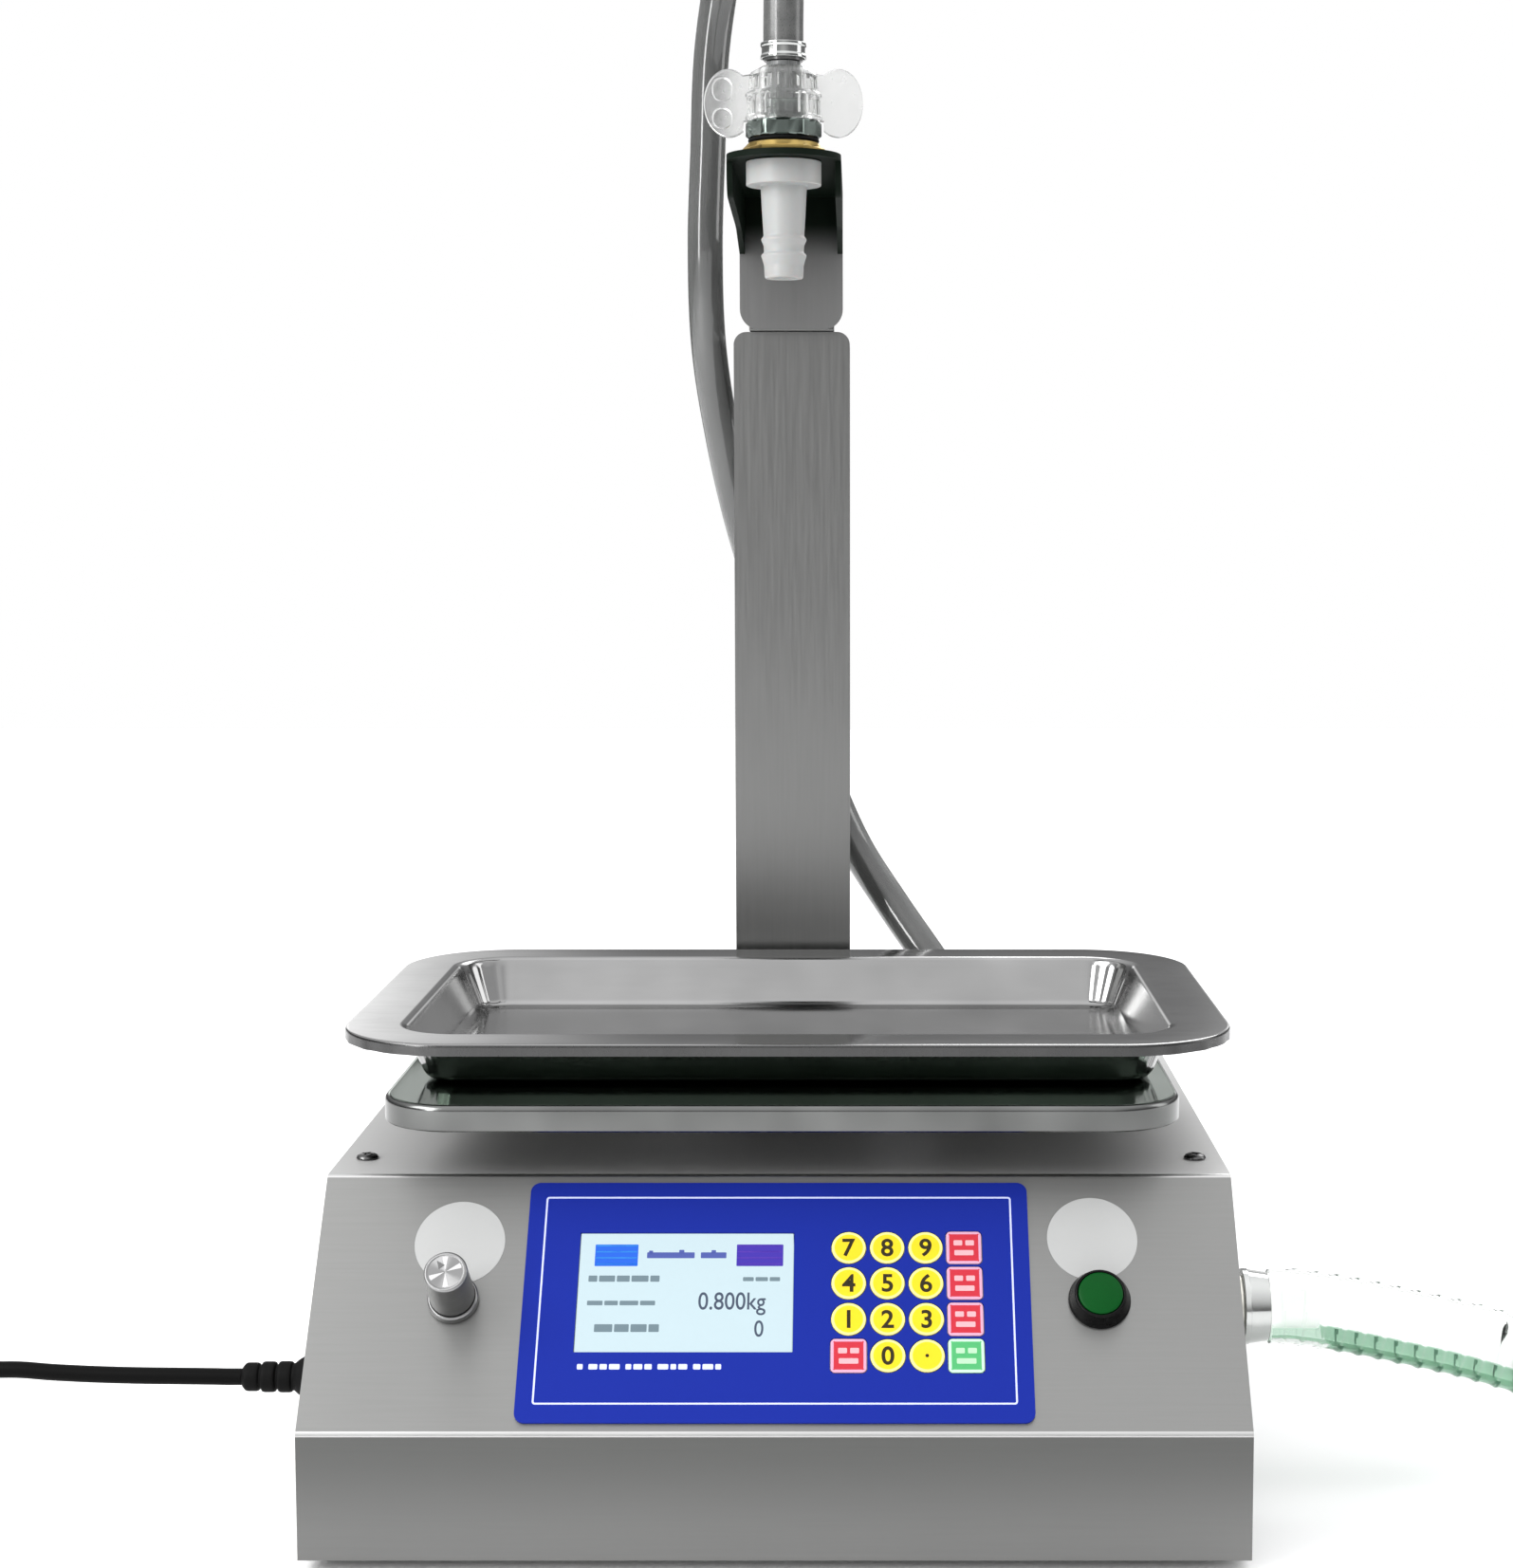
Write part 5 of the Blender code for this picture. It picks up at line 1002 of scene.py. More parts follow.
def key_print(key, top):
    if key == "dot":
        return turned([(0.0007, top), (0.0007, top + INK)], 24)
    if key not in SQUARE_KEYS:
        return moved(lettering(key, 0.0102, bold=0.00022), shift(0, 0, top))
    marks = []
    for row, widths in enumerate(((0.0034, 0.0034), (0.0075,))):
        x = -sum(widths) / 2 - 0.0006 * (len(widths) - 1)
        for wide in widths:
            marks.append(bar(x, 0.002 - 0.0042 * row, wide, top, INK))
            x += wide + 0.0012
    return joined(marks)


def keys():
    for key, place in key_places():
        square = key in SQUARE_KEYS
        colour = "green" if key == "e" else "red" if square else "yellow"
        rim = 0.0009 if square else 0.0008
        edge = (KEY_HALF if square else KEY_RADIUS) - rim - 0.0002
        rings = []
        for inset, height in (
            (0, KEY_LOW), (0, OVERLAY_TOP - 0.0001), (0.0001, KEY_TOP - 0.0001),
            (0.0003, KEY_TOP - 0.00003), (rim, KEY_TOP), (rim + 0.0003, KEY_TOP - 0.00006),
        ):
            rings.append([(x, y, height) for x, y in key_outline(key, -inset)])

        def pick(centre, face):
            reach = max(abs(centre.x), abs(centre.y)) if square else centre.xy.length
            flat = len(face.verts) > 8 and centre.z > KEY_TOP / 2
            return int(reach > edge and not flat)

        body, at, slot = f"key_{key}", SLOPE @ shift(*place), f"{colour}_key"
        cap = piece(f"cap_{key}", skin(rings), f"{colour} {colour}_rim", body, at, body, slot, pick)
        name, ink = (f"mark_{key}", "faint") if square else (f"figure_{key}", "ink")
        ink = "faint_green" if key == "e" else ink
        print_on(cap, name, key_print(key, KEY_TOP - 0.00006), ink, body, at, slot)


SCREEN_TOP = OVERLAY_TOP - 0.0004
SCREEN_SHAPES = (
    ("screen_tank_left", "screen_blue", [(-0.0274, 0.0155, 0.0168, 0.0092)]),
    ("screen_tank_right", "screen_violet", [(0.0286, 0.0155, 0.0182, 0.0092)]),
    ("screen_tank_levels", "screen_pale_blue", [
        (-0.0274, 0.0118 + 0.0026 * k, 0.016, 0.0006, 0.0001) for k in range(4)
    ]),
    ("screen_tank_bars", "screen_mauve", [
        (0.0286, 0.0118 + 0.0026 * k, 0.0174, 0.0006, 0.0001) for k in range(4)
    ]),
    ("screen_pipe", "screen_dark", [
        (-0.0062, 0.0155, 0.0186, 0.0025), (0.0105, 0.0155, 0.01, 0.0025),
        (-0.002, 0.017, 0.002, 0.0016), (0.0105, 0.017, 0.0018, 0.0014),
        (-0.014, 0.0168, 0.0016, 0.0014),
    ]),
)
SCREEN_ROWS = (
    (-0.0378, 0.0056, (0.0034, 0.0062, 0.005, 0.0066, 0.0036), 0.0026),
    (0.0222, 0.0054, (0.0042, 0.0048, 0.004), 0.0017),
    (-0.0378, -0.0046, (0.006, 0.0052, 0.0072, 0.0058), 0.0019),
    (-0.0345, -0.015, (0.007, 0.0056, 0.0062, 0.004), 0.0032),
)


def display():
    at = SLOPE @ shift(*DISPLAY, 0)
    body = bevelled(extruded(rounded(*DISPLAY_HALF, GAP, 2), -0.009, SCREEN_TOP), 0.00015, 2)
    glass = piece("lit_display", body, "screen", "machine", at, "display", "display_glass")

    def show(name, look, shapes):
        print_on(glass, name, joined(shapes), look, "machine", at, "display_glass")

    def shape(x, y, wide, tall, corner=0.0003):
        outline = rounded(wide / 2, tall / 2, min(corner, tall / 2.1), 2, (x, y))
        return extruded(outline, SCREEN_TOP, SCREEN_TOP + THIN_INK)

    for name, look, shapes in SCREEN_SHAPES:
        show(name, look, [shape(*row) for row in shapes])
    rows = []
    for x, y, widths, tall in SCREEN_ROWS:
        for wide in widths:
            rows.append(shape(x + wide / 2, y, wide, tall))
            x += wide + 0.0007
    show("screen_words", "screen_grey", rows)
    figures = []
    taller = Matrix.Diagonal((1, 1.22, 1, 1))
    for text, x, y, size in (("0.800kg", 0.0182, -0.0049, 0.0084), ("0", 0.0288, -0.0152, 0.0078)):
        figure = moved(lettering(text, size, THIN_INK, 0.00005), taller)
        figures.append(moved(figure, shift(x, y, SCREEN_TOP)))
    show("screen_figures", "screen_ink", figures)


# Stickers, flow knob and start button
STICKER_RADIUS = 0.0177


def stickers():
    for name, x, rise in (("left", -0.1247, 0.0786), ("right", 0.1233, 0.0803)):
        profile = [(0, 0.00002), (STICKER_RADIUS, 0.00002), (STICKER_RADIUS, 0.00015), (0, 0.00016)]
        body = turned(profile, 72, soft=0.00004)
        piece(f"sticker_{name}", body, "sticker", "machine", SLOPE @ shift(x, rise, 0))


def flow_knob():
    lift, height = 0.001, 0.0255
    top, skirt = lift + height, lift + 0.0035
    profile = [
        (0, 0.0168), (0.0033, 0.0168), (0.0033, 0.0055), (0.004, 0.0055), (0.004, lift),
        (0.0098, lift), (0.0098, skirt - 0.0006), (0.0092, skirt), (0.008, skirt),
        (0.008, skirt + 0.0006), (0.0087, skirt + 0.0008), (0.00875, skirt + 0.002),
        (0.0083, top - 0.0006), (0.0077, top), (0.007, top), (0.0068, top - 0.0002),
        (0, top - 0.0002),
    ]

    def pick(centre, face):
        groove = skirt - 0.0001 < centre.z < skirt + 0.0008 and centre.xy.length < 0.0086
        if centre.z > top - 0.0003:
            return 1
        # Black in the groove at the skirt and round the foot is painted shade.
        return 2 if groove or centre.z < lift + 0.0009 else 0

    def dial(outline, thick, *degrees):
        low = top - 0.0002
        return joined(
            moved(extruded(outline, low, low + thick), spin(math.radians(way))) for way in degrees
        )

    at = SLOPE @ shift(*KNOB, 0)
    knob = piece(
        "turned_knob", turned(profile, 96, soft=0.0002, steps=2), "aluminium turned_face black",
        "flow_knob", at, "flow_knob", "aluminium", pick, local=True,
    )
    arrow = [(0.0058, 0.0), (0.0024, 0.0014), (0.0024, -0.0014)]
    mark = dial(arrow, 0.00008, 128)
    print_on(knob, "knob_pointer", mark, "faint_ink", "flow_knob", at, "aluminium")
    # Four bright wedges on the top: a painted highlight.
    wedge = [(0.0004, 0.0), (0.0062, 0.0011), (0.0064, 0.0), (0.0062, -0.0011)]
    painted_shine = dial(wedge, 0.00004, 25, 205, 95, 275)
    print_on(knob, "knob_painted_highlight", painted_shine, "wedge", "flow_knob", at, "aluminium")


def start_button():
    height, cap = 0.0072, 0.0086
    thick, travel = 0.004, 0.0022
    floor_z = height + 0.0004 - thick - travel - GAP
    profile = [
        (0, -0.026), (0.0079, -0.026), (0.0079, -0.0045), (0.011, -0.0045), (0.011, -0.0015),
        (0.0079, -0.0015), (0.0079, GAP), (0.0121, GAP), (0.0121, 0.0014), (0.0116, 0.0022),
        (0.01, height - 0.0004), (0.0096, height), (cap + GAP, height), (cap + GAP, floor_z),
        (0, floor_z),
    ]
    at = SLOPE @ shift(*BUTTON, 0)
    piece(
        "button_bezel", turned(profile, 72, soft=0.0004), "bezel washer", "machine", at,
        "start_button_body", "black_plastic",
        lambda centre, face: int(0 < centre.z < 0.001 and centre.xy.length > 0.0113), local=True,
    )
    low = floor_z + travel + GAP
    top = low + thick
    profile = [(0, low), (cap, low), (cap, top - 0.0001)]
    steps = 8
    for k in range(1, steps + 1):
        share = 1 - k / steps
        profile.append((cap * share, top + 0.0011 * (1 - share * share)))
    piece(
        "button_cap", turned(profile, 72, soft=0.0004), "button", "start_button", at,
        "start_button_cap", "green_key", local=True,
    )


# Platform and tray
PLATFORM_TOP = 0.168
PLATFORM_HALF = (0.159, 0.117)
PLATFORM_MIDDLE = (0.001, -0.002)
TRAY_FLOOR = PLATFORM_TOP + GAP
TRAY_HALF = (0.1808, 0.119)
TRAY_MIDDLE = (0.0028, 0.008)
TRAY_CORNER = 0.048


def dish(half, corner, profile, smallest, centre, steps, crease=None):
    rings = []
    for inset, height in profile:
        radius = max(corner - inset, smallest)
        ring = []
        outline = rounded(half[0] - inset, half[1] - inset, radius, steps)
        for k, (x, y) in enumerate(outline):
            push = crease(k / (steps + 1) % 1, inset, height) if crease else 0
            way = Vector((x / half[0], y / half[1], 0)).normalized()
            ring.append((x + centre[0] + way.x * push, y + centre[1] + way.y * push, height))
        rings.append(ring)
    return skin(rings)


def platform():
    corner, low, wall, edge = 0.03, PLATFORM_TOP - 0.0105, 0.002, 0.0024
    flat = corner + 0.06
    bend = (edge, PLATFORM_TOP - edge)
    outer = arc(bend, edge, QUARTER, 2 * QUARTER, 8)
    inner = arc(bend, edge - wall, 2 * QUARTER, QUARTER, 8)
    profile = [(flat, PLATFORM_TOP), (corner, PLATFORM_TOP), *outer]
    profile += [(0, low + 0.0006), (0.0006, low), (wall - 0.0006, low), (wall, low + 0.0006)]
    profile += [*inner, (corner, PLATFORM_TOP - wall), (flat, PLATFORM_TOP - wall)]
    # The top face takes painted shade under the tray.
    piece(
        "platform_pan", dish(PLATFORM_HALF, corner, profile, 0.002, PLATFORM_MIDDLE, 16),
        "platform pad", "platform", MACHINE, "weigh_platform", "brushed_steel",
        lambda centre, face: int(face.normal.z > 0.9 and centre.z > PLATFORM_TOP - 0.0004),
    )


def tray():
    rim, wall = TRAY_FLOOR + 0.0225, 0.0008
    foot_x, lip = 0.0345, 0.0048
    corner = TRAY_CORNER
    top = softened([
        (foot_x + corner, TRAY_FLOOR + wall), (foot_x + 0.003, TRAY_FLOOR + wall),
        (foot_x, TRAY_FLOOR + 2 * wall), (foot_x - 0.002, TRAY_FLOOR + 0.003),
        (0.0256, rim - 0.003), (0.0245, rim - 0.0009), (0.0226, rim - 0.0001), (0.012, rim),
    ], 0.0022, 4)
    edge = [(0.0013, rim), (0.0003, rim - 0.0003), (0, rim - 0.001), (0, rim - lip)]
    under = softened([
        (wall, rim - lip), (wall, rim - 0.0016), (0.0022, rim - wall), (0.0222, rim - wall),
        (0.0236, rim - 0.0018), (0.0247, rim - 0.0035), (foot_x - 0.003, TRAY_FLOOR + 0.0026),
        (foot_x - 0.0008, TRAY_FLOOR + 0.0006), (foot_x + 0.0024, TRAY_FLOOR),
        (foot_x + corner, TRAY_FLOOR),
    ], 0.0018, 4)
    profile = top + softened(edge, 0.0006, 3) + under
    low, high = TRAY_FLOOR + 0.002, rim - 0.002

    def crease(share, inset, height):
        """Pressed corners: small radial folds down the wall, none on the rim or the floor."""
        if not low < height < high or not 0.02 < share < 0.98:
            return 0
        place = (height - low) / (high - low)
        fold = math.sin(share * math.pi) * math.sin(place * math.pi)
        return -0.0006 * fold * (math.cos(share * 34) + 0.5 * math.cos(share * 57 + 1))

    def pick(centre, face):
        """The rolled edge is duller and carries painted shade, darker than the pressed sheet."""
        spot = centre - Vector((*TRAY_MIDDLE, 0))
        out_x = abs(spot.x) - (TRAY_HALF[0] - corner)
        out_y = abs(spot.y) - (TRAY_HALF[1] - corner)
        out = math.hypot(out_x, out_y) if out_x > 0 and out_y > 0 else max(out_x, out_y)
        return int(corner - out < 0.0009 and rim - lip - 0.0002 < centre.z < rim - 0.0004)

    piece(
        "pressed_tray", dish(TRAY_HALF, corner, profile, lip, TRAY_MIDDLE, 28, crease), "tray lip",
        "tray", MACHINE, "tray", "polished_steel", pick,
    )


# Column and arm
POST_HALF = 0.0275
HOOD_HALF = 0.02425
HOOD_SHEET = 0.0025
BAR_HALF_X = 0.02


def boxed(half_x, y, half_y, low, high):
    return block((-half_x, y - half_y, low), (half_x, y + half_y, high))


def column():
    foot_z = TOP_Z + GAP
    half = POST_HALF
    corners = [(-half, foot_z), (half, foot_z), (half, COLUMN_TOP), (-half, COLUMN_TOP)]
    face = filleted(corners, (0, 0, 0.006, 0.006), 10)
    body = moved(extruded(face, -0.015, 0.015), shift(0, COLUMN_Y, 0) @ UPRIGHT)
    base = block(
        (-0.038, COLUMN_FRONT - 0.0015, foot_z), (0.038, COLUMN_FRONT + 0.0315, foot_z + 0.003)
    )
    cuts = [
        boxed(half - 0.002, COLUMN_Y, 0.013, foot_z - OVERRUN, COLUMN_TOP - 0.04),
        boxed(0.0205, COLUMN_Y, 0.0065, COLUMN_TOP - 0.042, COLUMN_TOP + 0.01),
        moved(rod(0.0043, 0, 0.02, 32), shift(0, COLUMN_Y, CLAMP_Z) @ spin(-QUARTER, "X")),
    ]
    piece(
        "post", carved(bevelled(body, 0.0022, 4), cuts, [bevelled(base, 0.0006)]), "upright",
        "machine", MACHINE, "column", "brushed_steel",
    )


def arm():
    half, sheet = HOOD_HALF, HOOD_SHEET
    bar_top = COLUMN_TOP + 0.044
    slide = boxed(BAR_HALF_X, COLUMN_Y, 0.006, COLUMN_TOP - 0.112, bar_top)
    head = block((-BAR_HALF_X, ARM_BACK + GAP, COLUMN_TOP + GAP), (BAR_HALF_X, COLUMN_Y, bar_top))
    piece(
        "slide_bar", bevelled(carved(slide, (), [head]), 0.0005), "upright", "arm", MACHINE,
        "arm_bar", "brushed_steel",
    )
    shelf = arc((0, NOZZLE_Y), half, -2 * QUARTER, 0, 32) + [(half, ARM_BACK), (-half, ARM_BACK)]
    low, high = ARM_TOP - 0.0638, ARM_TOP - GAP
    corners = [(-half, low), (half, low), (half, high), (-half, high)]
    face = filleted(corners, (0.0095, 0.0095, 0, 0), 10)
    adds = [moved(extruded(face, 0, sheet), shift(0, ARM_BACK, 0) @ UPRIGHT)]
    front, back = NOZZLE_Y + GAP, ARM_BACK - sheet / 2
    flange = filleted([
        (front, high), (front, ARM_TOP - 0.016), (ARM_BACK - 0.04, ARM_TOP - 0.0205),
        (back, ARM_TOP - 0.029), (back, high),
    ], (0, 0.011, 0.06, 0, 0), 12)
    for side in (-1, 1):
        start, end = sorted((side * half, side * (half - sheet)))
        adds.append(moved(extruded(flange, start, end), ALONG_X))
    hole = rod(0.0103, ARM_TOP - sheet - OVERRUN, ARM_TOP + OVERRUN)
    hole = moved(hole, shift(0, NOZZLE_Y, 0))
    body = carved(extruded(shelf, ARM_TOP - sheet, ARM_TOP), [hole], adds)

    def top_side(edge):
        return all(
            abs(abs(v.co.x) - half) < 1e-5 and v.co.z > ARM_TOP - 0.001 for v in edge.verts
        )

    body = bevelled(bevelled(body, 0.0019, 5, top_side), 0.0005, 2)
    # The hood and the top of the back plate carry painted shade.
    piece(
        "hood", body, "hood back_plate", "arm", MACHINE, "arm_bracket", "brushed_steel",
        lambda centre, face: int(centre.y > ARM_BACK - 0.003 and centre.z < ARM_TOP - 0.02),
    )


def clamp_knob():
    """A lobed hand knob on its screw, behind the column."""
    start, thick, radius, lobes = 0.006, 0.014, 0.016, 6
    rings = []
    for inset, height in ((0.0012, start), (0, start + 0.0015), (0, start + thick - 0.002),
                          (0.0008, start + thick - 0.0006), (0.003, start + thick)):
        rings.append(ring_at(
            height, circle(lobes * 16),
            lambda a: radius - inset - 0.0016 * (1 - math.cos(lobes * a)) / 2,
        ))
    hub = COLUMN_FRONT + 0.03 + 0.0005
    tip = COLUMN_Y + 0.006 + GAP - hub
    end = start + 0.004
    stem = turned([
        (0, tip), (0.0036, tip), (0.004, tip + 0.0006), (0.004, 0), (0.008, 0), (0.008, end),
        (0, end),
    ], 48, soft=0.0004)
    piece(
        "hand_knob", carved(skin(rings), (), [stem]), "black", "arm_clamp_knob",
        MACHINE @ (shift(0, hub, CLAMP_Z) @ spin(-QUARTER, "X")), "arm_clamp_knob", "black_plastic",
    )


# Nozzle stack
NUT_Z = ARM_TOP + GAP
RING_Z = NUT_Z + 0.0043 + GAP
HEX_Z = RING_Z + 0.0018 + GAP
HEX_TOP = HEX_Z + 0.0066
STUD_TOP = HEX_Z + 0.015
WING_Z = HEX_TOP + GAP
TAIL_Z = STUD_TOP + GAP
WING_TOP = WING_Z + 0.0225
RING_POINTS = 48


def ring_of(radius, height, sides=RING_POINTS):
    """A round ring, or one with flat sides."""
    half = math.pi / sides

    def reach(a):
        if sides == RING_POINTS:
            return radius
        return radius * (math.cos(half) / math.cos(a % (TURN / sides) - half))

    return ring_at(height, circle(RING_POINTS), reach)


def ringed(rows, closed=True):
    return skin([ring_of(*row) for row in rows], closed)


def nozzle():
    top = ARM_TOP - HOOD_SHEET - GAP
    flange = top - 0.01
    tip = flange - 0.0387
    first, second = tip + 0.0098, tip + 0.0163
    profile = [
        (0.0055, tip + 0.0006), (0.0061, tip), (0.0078, tip), (0.0082, tip + 0.0008),
        (0.0084, tip + 0.0055), (0.0097, first), (0.0084, first + 0.0012),
        (0.0086, first + 0.004), (0.0097, second), (0.0086, second + 0.0016),
        (0.0093, flange - 0.01), (0.0098, flange), (0.0159, flange), (0.0159, top),
        (0.01, top), (0.01, HEX_Z - GAP), (0.0055, HEX_Z - GAP),
    ]
    body = turned(profile, closed=True, soft=0.0005)
    piece("filling_nozzle", body, "nylon", "arm", STACK, "nozzle", "white_nylon", local=True)


def hex_parts():
    nut = ringed([
        (0.0103, NUT_Z), (0.0167, NUT_Z, 6), (0.0174, NUT_Z + 0.0008, 6),
        (0.0174, NUT_Z + 0.0022, 6), (0.0169, NUT_Z + 0.0027, 6), (0.015, NUT_Z + 0.0043),
        (0.0103, NUT_Z + 0.0043),
    ])
    piece("brass_nut", bevelled(nut, 0.0002, 2), "brass", "arm", STACK, "nozzle_nut", "brass")
    half = 0.0009
    section = arc((0, 0), half, 0, TURN, 16)[:-1]
    ring = turned([(0.0141 + x, RING_Z + half + z) for x, z in section], closed=True)
    piece("rubber_ring", ring, "rubber", "arm", STACK, "sealing_ring", "black_rubber")
    rows = [
        (0.0055, HEX_Z), (0.015, HEX_Z), (0.016, HEX_Z + 0.0007, 6), (0.016, HEX_TOP - 0.0007, 6),
        (0.015, HEX_TOP), (0.009, HEX_TOP),
    ]
    threads = 6
    for k in range(threads):
        z = HEX_TOP + 0.0005 + (STUD_TOP - HEX_TOP - 0.001) * k / threads
        rows += [(0.009, z), (0.0084, z + 0.0006)]
    rows += [(0.0088, STUD_TOP), (0.0055, STUD_TOP)]
    piece("chrome_hexagon", bevelled(ringed(rows), 0.0002, 2), "hexagon", "arm", STACK,
          "hex_adapter", "chrome")


def wing_nut():
    """Two clear tiers with grip flutes between two round ears, the left one with pockets."""
    waist = WING_Z + 0.01125
    roof = TAIL_Z + 0.0025 + GAP

    def fluted(radius, height, flutes=0):
        return ring_at(
            height, circle(128), lambda a: radius - 0.001 * flutes * (math.cos(16 * a + 0.4) > 0.3)
        )

    body = skin([fluted(*row) for row in (
        (0.0095, WING_Z), (0.0155, WING_Z), (0.0163, WING_Z + 0.0008), (0.0163, WING_Z + 0.0016),
        (0.0159, WING_Z + 0.002), (0.0158, WING_Z + 0.0022, 1), (0.0156, waist - 0.0014, 1),
        (0.0157, waist - 0.0012), (0.0163, waist - 0.0006), (0.016, waist),
        (0.0151, waist + 0.0006), (0.0149, waist + 0.0016), (0.0148, waist + 0.0018, 1),
        (0.0144, WING_TOP - 0.0042, 1), (0.0144, WING_TOP - 0.004), (0.0138, WING_TOP - 0.0026),
        (0.0112, WING_TOP - 0.0012), (0.0092, WING_TOP), (0.0077, WING_TOP), (0.0077, roof),
        (0.0095, roof),
    )], closed=True)
    root, hang, reach = 0.0132, 0.017, 0.0335
    high = WING_TOP - 0.001
    low = high - 0.028
    middle, across, sweep = (high + low) / 2, 0.0105, math.radians(125)
    outline = [(root, WING_Z + 0.0002), (hang, WING_Z)]
    outline += [
        (reach - across + across * x, middle + (high - middle) * z)
        for x, z in arc((0, 0), 1, -sweep, sweep, 40)
    ]
    outline.append((root, WING_TOP - 0.003))
    pockets = []
    for z, tall in ((high - 0.0083, 0.0046), (low + 0.0078, 0.004)):
        for near, far in ((-0.01, -0.0004), (0.0004, 0.01)):
            pockets.append(extruded(rounded(0.004, tall, 0.0036, 8, (hang + 0.0088, z)), near, far))
    right, left = (bevelled(extruded(outline, -0.00225, 0.00225), 0.0014, 4) for _ in range(2))
    left = moved(bevelled(carved(left, pockets), 0.0009, 3), spin(2 * QUARTER) @ UPRIGHT)
    piece(
        "clear_wing_nut", carved(body, (), [moved(right, UPRIGHT), left]), "frosted wing_core",
        "wing_nut", STACK, "wing_nut", "clear_plastic",
        lambda centre, face: int(centre.xy.length < 0.0164), local=True,
    )


def tail_and_clamp():
    top = HOSE_START - GAP
    profile = [
        (0.0045, TAIL_Z), (0.009, TAIL_Z), (0.009, TAIL_Z + 0.0025), (0.0072, TAIL_Z + 0.0025),
        (0.0072, top), (0.0045, top),
    ]
    spigot = turned(profile, closed=True, soft=0.0004)
    piece("spigot", spigot, "spigot", "arm", STACK, "hose_tail", "clear_plastic")
    inner = HOSE_RADIUS + GAP
    outer = inner + 0.0009
    low = HOSE_START + 0.001
    high = low + 0.0065
    profile = [
        (inner, low), (outer, low), (outer, low + 0.0012), (outer - 0.0004, low + 0.0018),
        (outer - 0.0004, high - 0.0018), (outer, high - 0.0012), (outer, high), (inner, high),
    ]
    ring = turned(profile, closed=True, soft=0.0003)
    ear = block((-0.0015, inner + 0.0003, low + 0.0004), (0.0015, outer + 0.003, high - 0.0004))
    ring = carved(ring, (), [bevelled(ear, 0.0006)])
    piece("crimped_ferrule", ring, "chrome", "arm", STACK, "hose_clamp", "chrome")


# Fittings in the housing's walls
def fittings():
    top = OUTLET_TOP - TOP_Z
    body = ringed([
        (0.006, -0.038), (0.006, GAP), (0.0118, GAP), (0.0125, GAP + 0.0006, 6),
        (0.0125, 0.0077, 6), (0.0118, 0.0083), (0.0072, 0.0083), (0.0072, top - 0.0003),
        (0.0069, top),
    ], closed=False)
    elbow = moved(rod(0.0057, 0, 0.016, 32), shift(0, 0, -0.032) @ UPRIGHT)
    at = MACHINE @ shift(OUTLET.x, OUTLET.y, TOP_Z)
    piece("outlet_elbow", carved(body, (), [elbow]), "chrome", "machine", at, "outlet_fitting",
          "chrome")
    x = GAP
    stack = [(0, -0.0082), (0.01, -0.0082), (0.01, x)]
    for radius, end, length in (
        (0.013, 0.013, 0.01), (0.0156, 0.0156, 0.0026), (0.0153, 0.014, 0.0085),
        (0.009, 0.009, 0.021),
    ):
        stack += [(radius, x), (end, x + length)]
        x += length
    stack.append((0, x))
    slots = [
        moved(block((0.012, -0.0007, 0.0012), (0.0145, 0.0007, 0.0092)), spin(angle))
        for angle in circle(20)
    ]

    def pick(centre, face):
        """The barb with its painted glow, the collars, and the knurled ring with its grooves."""
        if centre.z > 0.0212:
            return 3
        if centre.z > 0.01:
            return 0
        return 2 if centre.z > 0.0011 and centre.xy.length < 0.0128 else 1

    piece(
        "suction_fitting", carved(turned(stack, soft=0.0005), slots), "chrome nickel slot barb",
        "machine", MACHINE @ shift(*INLET) @ SIDEWAYS, "inlet_fitting", "chrome", pick,
    )


def inner_hose():
    low, high = (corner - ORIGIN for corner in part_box("pump_hose"))
    radius = (high.z - low.z) / 2
    start = Vector((high.x - radius, low.y, (low.z + high.z) / 2))
    across, along = low.x + radius - start.x, high.y - start.y
    count = 40
    shares = [k / count for k in range(count + 1)]
    line = [start + Vector((across * eased(share), along * share, 0)) for share in shares]
    line[1].x, line[-2].x = line[0].x, line[-1].x
    body = pipe(line, rings_along(line, radius, 24), radius - 0.0016, 24)
    piece("inner_hose", body, "hose", "machine", MACHINE, "pump_hose", "clear_plastic")


